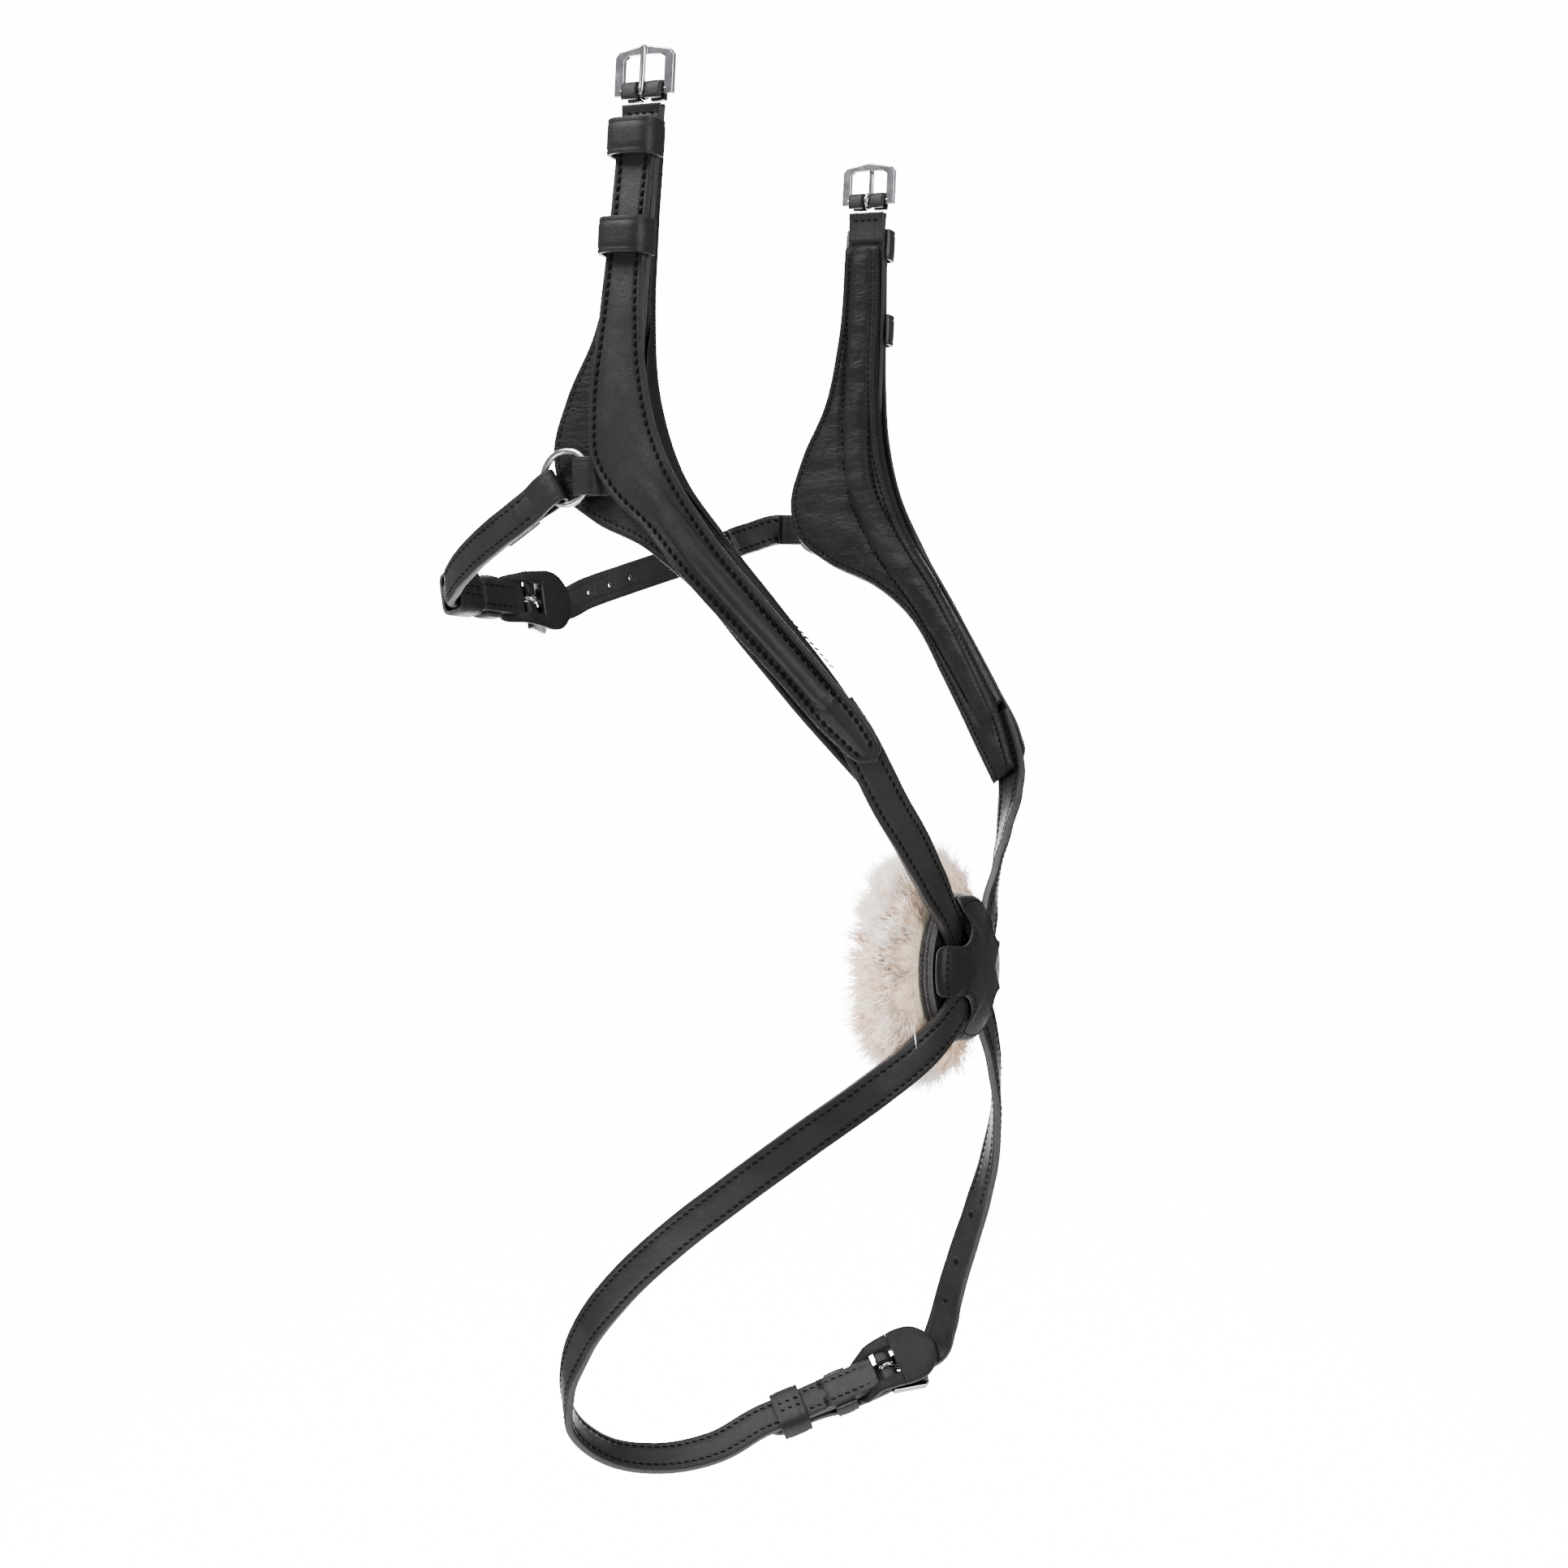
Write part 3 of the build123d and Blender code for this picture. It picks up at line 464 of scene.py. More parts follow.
class Stitches:
    """Collects lock stitches as small bent capsules, and makes one object of them."""

    def __init__(self):
        self.verts, self.faces = [], []

    def one(self, start, end, out, thick, rise):
        along = (end - start).normalized()
        side = along.cross(out).normalized()
        stops = [(0.0, 0.25, -0.75), (0.12, 0.8, 0.1), (0.5, 1.0, rise), (0.88, 0.8, 0.1),
                 (1.0, 0.25, -0.75)]
        base = len(self.verts)
        for t, size, lift in stops:
            middle = start.lerp(end, t) + out * lift * thick
            for k in range(6):
                a = math.tau * k / 6
                self.verts.append(middle + side * (math.cos(a) * thick * size)
                                  + out * (math.sin(a) * thick * size * 0.8))
        self.faces += tube_faces(base, len(stops), 6)
        self.faces.append(tuple(base + k for k in reversed(range(6))))
        self.faces.append(tuple(base + (len(stops) - 1) * 6 + k for k in range(6)))

    def row(self, points, outs, pitch=3.1, length=2.45, thick=0.42, slant=0.14, rise=0.25):
        """Stitches along a line of points that lie on the leather, with outward directions."""
        steps = [0.0]
        for a, b in zip(points, points[1:]):
            steps.append(steps[-1] + (b - a).length)
        total = steps[-1]
        number = max(1, int(total / pitch))
        gap = total / number

        def spot(d):
            j = int(np.clip(np.searchsorted(steps, d) - 1, 0, len(points) - 2))
            f = (d - steps[j]) / max(steps[j + 1] - steps[j], 1e-9)
            return points[j].lerp(points[j + 1], f), outs[j].lerp(outs[j + 1], f).normalized()
        for i in range(number):
            d = (i + 0.5) * gap
            a, out = spot(max(d - length / 2, 0.0))
            b, _ = spot(min(d + length / 2, total))
            side = (b - a).cross(out).normalized() * (slant * length)
            self.one(a - side, b + side, out, thick * rng.uniform(0.9, 1.1), rise)

    def strap_rows(self, sections, inset=2.6, faces=(1, -1), deep=0.15, **kw):
        """Rows along both edges of a strap's faces."""
        for face in faces:
            for hand in (1, -1):
                pts = [s.at(hand * (s.width / 2 - inset), face * (s.thick / 2 - deep))
                       for s in sections]
                self.row(pts, [s.out * face for s in sections], **kw)

    def make(self, name, body):
        obj = make_object(name, self.verts, self.faces, [THREAD])
        return place(obj, body, "leather")


class Buckle:
    """The part's own places along a buckle: s towards the frame's tip, w across, n outward."""

    def __init__(self, bar, along, outward):
        self.s = Vector(along).normalized()
        out = Vector(outward)
        self.n = (out - self.s * out.dot(self.s)).normalized()
        self.bar = Vector(bar)
        self.w = self.n.cross(self.s)

    def at(self, s, n, w=0.0):
        return self.bar + self.s * s + self.n * n + self.w * w


def path_sections(points, outs, width, thick):
    """Sections along a plain list of points; width may be a list."""
    sections = []
    last = len(points) - 1
    for i, p in enumerate(points):
        along = points[min(i + 1, last)] - points[max(i - 1, 0)]
        here = width[i] if isinstance(width, (list, tuple)) else width
        sections.append(Section(p, along, outs[i], here, thick))
    return sections


def flat_path(buckle, spots, w=0.0, per_span=5):
    """Smooth points through (s, n) places in a buckle's side plane, with their outer normals."""
    line = curve_points([Vector((s, n, 0)) for s, n in spots], per_span=per_span)
    points, outs = [], []
    last = len(line) - 1
    for i, p in enumerate(line):
        step = (line[min(i + 1, last)] - line[max(i - 1, 0)]).normalized()
        points.append(buckle.at(p.x, p.y, w))
        outs.append(buckle.n * step.x - buckle.s * step.y)
    return points, outs


def fold_round_bar(name, buckle, width, ply, start, half_thick, body, slot_half=TONGUE_SLOT_HALF):
    """Strap end turned back round a heel bar: two legs beside the tongue's slot."""
    radius = BAR_HOLD + ply / 2
    lead = half_thick - ply / 2
    spots = [(-start, lead), (-9.5, lead + 0.1), (-4.5, radius - 0.15), (0, radius)]
    spots += [(radius * math.sin(a), radius * math.cos(a)) for a in
              (math.pi * k / 6 for k in range(1, 6))]
    spots += [(0, -radius), (-4.5, -radius + 0.15), (-9.5, -lead - 0.1), (-start, -lead)]
    leg = width / 2 - slot_half
    made = []
    for hand in (1, -1):
        points, outs = flat_path(buckle, spots, hand * (slot_half + leg / 2), per_span=4)
        inside = [i for i, p in enumerate(points) if (p - buckle.bar).dot(buckle.s) > -4.4]
        points = points[inside[0]:inside[-1] + 1]
        outs = outs[inside[0]:inside[-1] + 1]
        obj = band(f"{name}_leg_{'a' if hand > 0 else 'b'}",
                   path_sections(points, outs, leg, ply), groove_at=0.8, groove_deep=0.05,
                   crown=0.05)
        made.append(place(obj, body, "leather"))
    for face in (1, -1):
        back = [(-start, face * (lead + 0.06)), (-12, face * (lead + 0.1)),
                (-8.0, face * (lead + 0.35)), (-5.2, face * (lead + 0.75))]
        points, outs = flat_path(buckle, back, per_span=4)
        obj = band(f"{name}_ply_{'top' if face > 0 else 'under'}",
                   path_sections(points, [o * face for o in outs], width, ply), groove_at=2.4,
                   groove_deep=0.18, crown=0.0)
        made.append(place(obj, body, "leather"))
    return made


def superellipse(half, middle, rise, power, start, end, steps):
    """Rounded outline as (w, n) places from a start to an end angle in degrees."""
    places = []
    for k in range(steps + (end < 360)):
        a = math.radians(start + (end - start) * k / steps)
        c, v = math.cos(a), math.sin(a)
        places.append((half * math.copysign(abs(c) ** (2 / power), c),
                       middle + rise * math.copysign(abs(v) ** (2 / power), v)))
    return places


def keeper_loop(name, buckle, s, length, half_width, low, high, closed, body, node, rows=None):
    """Leather keeper: a band round the strap with a crease near both edges."""
    t = KEEPER_THICK
    half = half_width + t / 2
    top = high + t / 2
    bottom = low - t / 2
    if closed:
        outline = superellipse(half, (top + bottom) / 2, (top - bottom) / 2, 5.0, 0, 360, 48)
    else:
        outline = [(half, low)] + superellipse(half, low + 1.2, top - low - 1.2, 3.4, 0, 180, 40)
        outline.append((-half, low))
    count = len(outline)
    sections = []
    for i, (w, n) in enumerate(outline):
        if closed:
            a, b = outline[i - 1], outline[(i + 1) % count]
        else:
            a, b = outline[max(i - 1, 0)], outline[min(i + 1, count - 1)]
        step = buckle.w * (b[0] - a[0]) + buckle.n * (b[1] - a[1])
        out = step.cross(buckle.s)
        centre = buckle.n * ((top + bottom) / 2)
        if out.dot(buckle.w * w + buckle.n * n - centre) < 0:
            out = -out
        sections.append(Section(buckle.at(s, n, w), step, out, length, t))
    obj = band(name, sections, groove_at=1.7, groove_deep=0.28, crown=0.06, closed=closed)
    place(obj, body, "leather", node)
    if closed and rows:
        for hand in (1, -1):
            pts = [buckle.at(s - length / 2 + 1.4 + k, bottom - t / 2 - 0.02, hand * 1.7)
                   for k in range(int(length) - 1)]
            rows.row(pts, [-buckle.n] * len(pts), pitch=2.6, length=2.0, thick=0.4)
    return obj


def cut_holes(obj, spots, radius=PUNCH_RADIUS, slot=None):
    """Punch real holes through a band at (middle, out, along) places; slot is one long hole."""
    work = bmesh.new()
    for middle, out, along in spots:
        out = Vector(out).normalized()
        turn = out.to_track_quat("Z", "Y").to_matrix().to_4x4()
        at = Matrix.Translation(Vector(middle) * MM) @ turn
        bmesh.ops.create_cone(work, cap_ends=True, segments=20, radius1=radius * MM,
                              radius2=radius * MM, depth=PUNCH_LENGTH * MM, matrix=at)
    if slot:
        middle, out, along = slot
        out, along = Vector(out).normalized(), Vector(along).normalized()
        side = out.cross(along)
        ring = []
        for sign, a0 in ((1, -90), (-1, 90)):
            for k in range(9):
                a = math.radians(a0 + 22.5 * k)
                ring.append(along * (sign * LONG_SLOT_HALF + PUNCH_RADIUS * math.cos(a))
                            + side * (PUNCH_RADIUS * math.sin(a)))
        reach = out * (PUNCH_LENGTH / 2)
        low = [work.verts.new((Vector(middle) + p - reach) * MM) for p in ring]
        high = [work.verts.new((Vector(middle) + p + reach) * MM) for p in ring]
        work.faces.new(list(reversed(low)))
        work.faces.new(high)
        for i in range(len(ring)):
            j = (i + 1) % len(ring)
            work.faces.new((low[i], low[j], high[j], high[i]))
    bmesh.ops.recalc_face_normals(work, faces=work.faces)
    mesh = bpy.data.meshes.new("punch")
    work.to_mesh(mesh)
    work.free()
    mesh.materials.append(EDGE)
    cutter = bpy.data.objects.new("punch", mesh)
    bpy.context.scene.collection.objects.link(cutter)
    cut = obj.modifiers.new("holes", "BOOLEAN")
    cut.operation = "DIFFERENCE"
    cut.solver = "EXACT"
    cut.material_mode = "TRANSFER"
    cut.object = cutter
    graph = bpy.context.evaluated_depsgraph_get()
    result = bpy.data.meshes.new_from_object(obj.evaluated_get(graph))
    obj.modifiers.clear()
    obj.data = result
    bpy.data.objects.remove(cutter)


# ------------------------------------------------------------------ surface of the cheek
_heights = np.array([row[0] for row in reversed(CHEEK_STATIONS)], float)
_columns = [np.array([row[k] for row in reversed(CHEEK_STATIONS)], float) for k in (1, 2, 3)]


def face_of(z):
    """Half width at X = 0, lean and padding thickness, eased over the stations' corners."""
    around = np.clip(z + np.array([-6.0, -3.0, 0.0, 3.0, 6.0]), -258, 5)
    return [float(np.interp(around, _heights, col).mean()) for col in _columns]


def on_cheek(x, z, lift, hand):
    """Point at a lift off the padding's outer face; hand is -1 on the right."""
    half, narrower, _ = face_of(z)
    return Vector((x, hand * (half - narrower * x + lift), z))


def cheek_normal(x, z, hand):
    step = 0.5
    dx = on_cheek(x + step, z, 0, hand) - on_cheek(x - step, z, 0, hand)
    dz = on_cheek(x, z + step, 0, hand) - on_cheek(x, z - step, 0, hand)
    out = dx.cross(dz)
    return (out if out.y * hand > 0 else -out).normalized()


def distance_to(points, line):
    """Distance from each 2D point to a polyline, as numpy arrays."""
    best = np.full(len(points), 1e9)
    for a, b in zip(line[:-1], line[1:]):
        step = b - a
        size = (step ** 2).sum()
        if size < 1e-12:
            continue
        t = np.clip(((points - a) @ step) / size, 0, 1)
        gap = np.sqrt(((points - (a + t[:, None] * step)) ** 2).sum(axis=1))
        best = np.minimum(best, gap)
    return best


def outline_grid(front, rear, rows, columns):
    """Grid of (x, z) between two edges, and every point's distance from the outline."""
    fine_front = even_points(curve_points([Vector((x, 0, z)) for x, z in front]), rows)
    fine_rear = even_points(curve_points([Vector((x, 0, z)) for x, z in rear]), rows)
    shares = [(1 - math.cos(math.pi * c / (columns - 1))) / 2 for c in range(columns)]
    grid = np.array([[[p.x, p.z] for p in (a.lerp(b, s) for s in shares)]
                     for a, b in zip(fine_rear, fine_front)])
    loop = np.array([[p.x, p.z] for p in fine_front] + [[p.x, p.z] for p in reversed(fine_rear)]
                    + [[fine_front[0].x, fine_front[0].z]])
    return grid, distance_to(grid.reshape(-1, 2), loop).reshape(rows, columns)


def shell(name, grid, outer, inner, hand, mats):
    """Closed sheet on the cheek from a grid of (x, z) and two grids of lifts."""
    rows, columns = grid.shape[:2]
    verts, faces, face_mats = [], [], []
    for lifts in (outer, inner):
        for i in range(rows):
            for j in range(columns):
                x, z = grid[i, j]
                verts.append(on_cheek(x, z, lifts[i, j], hand))

    def at(side, i, j):
        return side * rows * columns + i * columns + j
    for side in (0, 1):
        for i in range(rows - 1):
            for j in range(columns - 1):
                quad = (at(side, i, j), at(side, i, j + 1), at(side, i + 1, j + 1),
                        at(side, i + 1, j))
                faces.append(quad if side == 0 else tuple(reversed(quad)))
                face_mats.append(0)
    rim = [(i, 0) for i in range(rows)] + [(rows - 1, j) for j in range(1, columns)]
    rim += [(i, columns - 1) for i in range(rows - 2, -1, -1)]
    rim += [(0, j) for j in range(columns - 2, 0, -1)]
    for (i, j), (k, m) in zip(rim, rim[1:] + rim[:1]):
        faces.append((at(0, i, j), at(0, k, m), at(1, k, m), at(1, i, j)))
        face_mats.append(1)
    obj = make_object(name, verts, faces, mats, face_mats)
    work = bmesh.new()
    work.from_mesh(obj.data)
    bmesh.ops.remove_doubles(work, verts=work.verts, dist=1e-6)
    bmesh.ops.recalc_face_normals(work, faces=work.faces)
    work.to_mesh(obj.data)
    work.free()
    return obj


def inset_row(front, rear, inset, trim=0):
    """Line of (x, z) 'inset' inside an outline made of a front and a rear edge."""
    a = even_points(curve_points([Vector((x, 0, z)) for x, z in front]), 160)
    b = even_points(curve_points([Vector((x, 0, z)) for x, z in rear]), 160)
    lines = []
    for line, sign in ((a, -1), (b, 1)):
        moved = []
        for i, p in enumerate(line):
            step = (line[min(i + 1, 159)] - line[max(i - 1, 0)]).normalized()
            side = Vector((-step.z, 0, step.x)) * sign
            moved.append(p + side * inset)
        lines.append(moved[2:len(moved) - trim])
    return lines


# ------------------------------------------------------------------ cheeks
core_line = np.array([[p.x, p.z] for p in curve_points([Vector((x, 0, z)) for x, z, _ in CORE_LINE])])


def smooth_step(x, low, high):
    t = np.clip((x - low) / (high - low), 0.0, 1.0)
    return t * t * (3 - 2 * t)


def core_edges(half):
    """Lines of (x, z) either side of the strap's middle line, from below its buckle."""
    sides = ([], [])
    for i in range(2, len(core_line) - 4, 2):
        step = core_line[i + 1] - core_line[i - 1]
        step /= np.hypot(*step)
        if core_line[i][1] < -26:
            sides[0].append((core_line[i][0] - step[1] * half, core_line[i][1] + step[0] * half))
            sides[1].append((core_line[i][0] + step[1] * half, core_line[i][1] - step[0] * half))
    return sides


def build_padding(side, hand, stitches):
    """Padding with a rolled edge, sewn channels beside the strap and a creased lining."""
    grid, edge = outline_grid(PADDING_FRONT, PADDING_REAR, 170, 44)
    flat = grid.reshape(-1, 2)
    centre = distance_to(flat, core_line).reshape(edge.shape)
    roll = np.sqrt(np.clip(1 - (1 - np.clip(edge / 2.4, 0, 1)) ** 2, 0, 1))
    seam = np.exp(-((edge - 3.1) / 0.55) ** 2)
    channel = np.exp(-((centre - 6.3) / 1.0) ** 2) * smooth_step(edge, 3.2, 4.6)
    crown = 0.7 * smooth_step(edge, 3, 9) + 1.0 * np.exp(-(centre / 4.6) ** 4)
    crease = np.zeros(edge.shape)
    for i in range(grid.shape[0]):
        for j in range(grid.shape[1]):
            x, z = grid[i, j]
            p = Vector((x * 0.055, hand * 3.0, z * 0.16))
            crease[i, j] = noise.fractal(p, 1.0, 2.0, 4) - 0.5 * abs(
                noise.noise(Vector((x * 0.22, 4.0 * hand, z * 0.30))))
    crease *= 0.75 * smooth_step(edge, 2.5, 6)
    thick = np.array([[face_of(z)[2] for _, z in row] for row in grid])
    core_x = np.interp(-grid[:, :, 1], [-row[1] for row in CORE_LINE],
                       [row[0] for row in CORE_LINE])
    wrap = smooth_step(centre, 8.3, 9.3) * (grid[:, :, 0] > core_x)
    wrap = wrap * (1 - smooth_step(-grid[:, :, 1], 212, 222))
    outer = 3.7 * wrap * roll - (1 - roll) * thick * 0.45 - 0.35 * seam * (1 - wrap)
    inner = -thick + (1 - roll) * thick * 0.5 + 0.7 * seam + 1.6 * channel - crown - crease
    inner = np.minimum(inner, outer - 0.15)
    pad = shell(f"{side}_padding", grid, outer, inner, hand, [LINING, LINING])
    place(pad, "noseband", "soft_leather", f"cheek_{side}_padding")

    quilting = [[Vector((x, 0, z)) for x, z in edge_line] for edge_line in core_edges(6.3)]
    for line, faces in [(row, (1, -1)) for row in inset_row(PADDING_FRONT, PADDING_REAR, 3.1)] + [
            (row, (-1,)) for row in quilting]:
        for face in faces:
            pts = []
            for p in line:
                at = -0.35 if face > 0 else -face_of(p.z)[2] + 0.5
                pts.append(on_cheek(p.x, p.z, at, hand))
            outs = [cheek_normal(p.x, p.z, hand) * face for p in line]
            stitches.row(pts, outs, pitch=2.7, length=2.0, thick=0.34)


def build_facing(side, hand, stitches):
    """Facing: flat above, with a padded ridge between two channels below."""
    grid, edge = outline_grid(FACING_FRONT, FACING_REAR, 190, 36)
    flat = grid.reshape(-1, 2)
    centre = distance_to(flat, core_line).reshape(edge.shape)
    height = grid[:, :, 1]
    low_part = smooth_step(-height, 138, 160)
    end_part = 1 - smooth_step(-height, 226, 236)
    roll = np.sqrt(np.clip(1 - (1 - np.clip(edge / 1.1, 0, 1)) ** 2, 0, 1))
    seam = np.exp(-((edge - 2.6) / 0.7) ** 2)
    ridge = np.exp(-(centre / 2.9) ** 4) * low_part * end_part
    channel = np.exp(-((centre - 4.1) / 0.75) ** 2) * low_part * end_part
    swell = 0.9 * smooth_step(edge, 2.8, 8.0) * smooth_step(-height, 55, 110)
    dent = np.array([[noise.noise(Vector((x * 0.05, hand * 2.0, z * 0.05))) for x, z in row]
                     for row in grid]) * 0.35
    outer = (FACING_LIFT + FACING_THICK - (1 - roll) * 1.0 - 0.55 * seam + 2.1 * ridge
             - 0.9 * channel + swell + dent * smooth_step(edge, 1.5, 5))
    inner = np.full(edge.shape, FACING_LIFT) + (1 - roll) * 0.5
    facing = shell(f"{side}_facing", grid, outer, inner, hand, [LEATHER, EDGE])
    place(facing, "noseband", "leather", f"cheek_{side}_facing")
    for line in inset_row(FACING_FRONT, FACING_REAR, 2.6, trim=3):
        pts = [on_cheek(p.x, p.z, FACING_LIFT + FACING_THICK - 0.35, hand) for p in line]
        outs = [cheek_normal(p.x, p.z, hand) for p in line]
        stitches.row(pts, outs, pitch=3.2, length=2.4, thick=0.62, slant=0.2)


def build_cheek_strap(side, hand, top, stitches):
    """Strap between padding and facing, its end turned back round the top buckle's bar."""
    stations = [(top.at(-6.2, 0.0), top.n, CORE_THICK)]
    for x, z, _ in CORE_LINE[1:]:
        stations.append((on_cheek(x, z, CORE_LIFT + CORE_THICK / 2, hand),
                         cheek_normal(x, z, hand), CORE_THICK))
    sections = strap_sections(stations, CHEEK_WIDTH)
    for section in sections:
        section.width = 2 * float(np.interp(-section.mid.z, [-row[1] for row in CORE_LINE],
                                            [row[2] for row in CORE_LINE]))
    core = band(f"{side}_strap", sections)
    place(core, "noseband", "leather", f"cheek_{side}_strap")
    fold_round_bar(f"{side}_fold", top, CHEEK_WIDTH, 1.9, 18.0, CORE_THICK / 2, "noseband")
    upper = [s for s in sections if -21 < s.mid.z < -8]
    stitches.strap_rows(upper, inset=2.5, deep=0.0)
    for face in (1, -1):
        across = [top.at(-8.6, face * 2.15, w * 0.5) for w in range(-12, 13)]
        stitches.row(across, [top.n * face] * len(across), pitch=2.6, length=2.0)


def build_cheek(side, hand):
    """Padding, facing, strap, keepers, ring tab and stitches of one cheek."""
    stitches = Stitches()
    top = Buckle((0, hand * TOP_BAR_Y, 0), (math.sin(LEAN), 0, math.cos(LEAN)), (0, hand, 0))
    build_padding(side, hand, stitches)
    build_facing(side, hand, stitches)
    build_cheek_strap(side, hand, top, stitches)
    for level, s, height in (("upper", -18.5, 4.7), ("lower", -54.5, 7.9)):
        keeper_loop(f"{side}_{level}_keeper", top, s, 13.0, CHEEK_WIDTH / 2 + 0.5, height - 3.4,
                    height + 5.8, False, "noseband", f"cheek_{side}_{level}_keeper")
    tab = Buckle((RING_CENTRE.x, hand * -RING_CENTRE.y, RING_CENTRE.z), (1, 0, 0), (0, hand, 0))
    ring_loop(f"{side}_ring_tab", tab, 14.0, 1.5, 19.5, 15.6, -2.4, "noseband",
              f"cheek_{side}_ring_tab", first=6.0)
    stitches.make(f"{side}_cheek_stitches", "noseband")


def ring_loop(name, buckle, width, ply, length, end_of_loop, drop, body, node, first):
    """A strap's end doubled round a ring."""
    radius = RING_HOLD + ply / 2
    spots = [(length, drop + ply / 2), (end_of_loop, drop + ply / 2), (11.3, radius - 0.1),
             (first, radius)]
    spots += [(first - radius * math.sin(a), radius * math.cos(a)) for a in
              (math.pi * k / 6 for k in range(1, 6))]
    spots += [(first, -radius), (11.3, -radius + 0.1), (end_of_loop, drop - ply / 2),
              (length, drop - ply / 2)]
    points, outs = flat_path(buckle, spots, per_span=4)
    outs = [-o for o in outs]
    obj = band(name, path_sections(points, outs, width, ply), groove_at=1.9, groove_deep=0.12,
               crown=0.05)
    if node:
        return place(obj, body, "leather", node)
    return place(obj, body, "leather")


build_cheek("right", -1)
build_cheek("left", 1)

# ------------------------------------------------------------------ crossed straps
chin = Buckle((31.8, 46.0, -489.7), (0.782, 0.501, 0.371), (-0.128, 0.712, -0.69))
jaw = Buckle((-92.5, -30.0, -177.5), (0.17, 0.985, -0.03), (-0.96, 0.16, -0.20))


def plain_face(x, z):
    """The cheek's half width at a place, exactly as the part's own sandwich has it."""
    values = [float(np.interp(z, _heights, col)) for col in _columns]
    return values[0] - values[1] * x


def in_sandwich(x, z):
    return (x, -(plain_face(x, z) + CORE_LIFT + CORE_THICK / 2), z)


def nose_part(side, level):
    """Places from the cheek's lower end to just before the crossing."""
    run = [
        (in_sandwich(67.5, -224.0), (0.40, -0.89, -0.21)),
        (in_sandwich(73.0, -234.5), (0.40, -0.89, -0.21)),
        (in_sandwich(77.6, -246.0), (0.42, -0.87, -0.25)),
        ((80.4, -58.8, -258.0), (0.56, -0.76, -0.30)),
        ((83.2, -44.5, -273.0), (0.78, -0.52, -0.28)),
        ((85.0, -32.0, -287.0), (0.93, -0.30, -0.18)),
        ((86.3 + 0.4 * level, -19.0, -301.0), (1.0, -0.06, 0.0)),
        ((86.2 + level, -8.0, -313.0), (1, 0, 0)),
    ]
    thicknesses = [2.7, 2.7, 2.9] + [STRAP_THICK] * (len(run) - 3)
    return [((x, side * -y, z), (nx, side * -ny, nz), thick)
            for ((x, y, z), (nx, ny, nz)), thick in zip(run, thicknesses)]


def as_stations(run, thick=STRAP_THICK):
    return [(middle, normal, thick) for middle, normal in run]


def billet_run(buckle, tip_s):
    rise = [(20, 0.4), (14, 1.6), (7, 3.8), (0, 5.5), (-8, 6.2), (-16, 6.2), (-24, 6.05),
            (-30, 4.4), (-35, 3.8), (-41, 3.7), (tip_s, 3.8)]
    return [(buckle.at(s, n), buckle.n, BILLET_THICK) for s, n in rise]


def point_the_tip(sections, length=7.0):
    """Narrow the last sections of a billet to a rounded point."""
    end = sections[-1].mid
    for s in sections:
        left = (s.mid - end).length
        if left < length:
            s.width *= max(0.12, math.sqrt(max(0.0, 1 - (1 - left / length) ** 2)))
    return sections


far_run = as_stations([
    ((86.2, 0.0, DISC_Z), (1, 0, 0)),
    ((86.2, 8.5, -330.5), (1, 0, 0)),
    ((86.4, 18.0, -342.5), (1, 0.04, 0)),
    ((86.0, 27.0, -357.0), (0.98, 0.16, 0.02)),
    ((82.8, 38.0, -381.0), (0.90, 0.42, 0.08)),
    ((75.2, 48.5, -404.0), (0.76, 0.64, 0.10)),
    ((66.0, 56.0, -426.0), (0.62, 0.78, 0.05)),
    ((57.6, 60.0, -446.5), (0.50, 0.86, -0.05)),
    ((52.2, 61.4, -462.7), (0.38, 0.90, -0.18)),
])
far_run.append(((50.2, 58.9, -474.0), (0.20, 0.86, -0.45), 3.2))
billet_chin = billet_run(chin, -55)
from_right = strap_sections(nose_part(-1, 0.0) + far_run + billet_chin, NOSE_WIDTH,
                            lead_out=-chin.s)
billet_from = next(i for i, s in enumerate(from_right) if s.mid.z < -420 and s.mid.y > 50)
strap_right = band("nose_strap_from_right", point_the_tip(from_right), wobble=0.15)
holes = [(chin.at(-13, 6.2), chin.n, chin.s), (chin.at(-33, 4.0), chin.n, chin.s)]
holes += [(far_run[i][0], far_run[i][1], (0, 0, 1)) for i in (6, 7, 8)]
cut_holes(strap_right, holes, slot=(chin.at(7.4, 3.7), chin.n, chin.s))
place(strap_right, "noseband", "leather", "nose_strap_from_right")

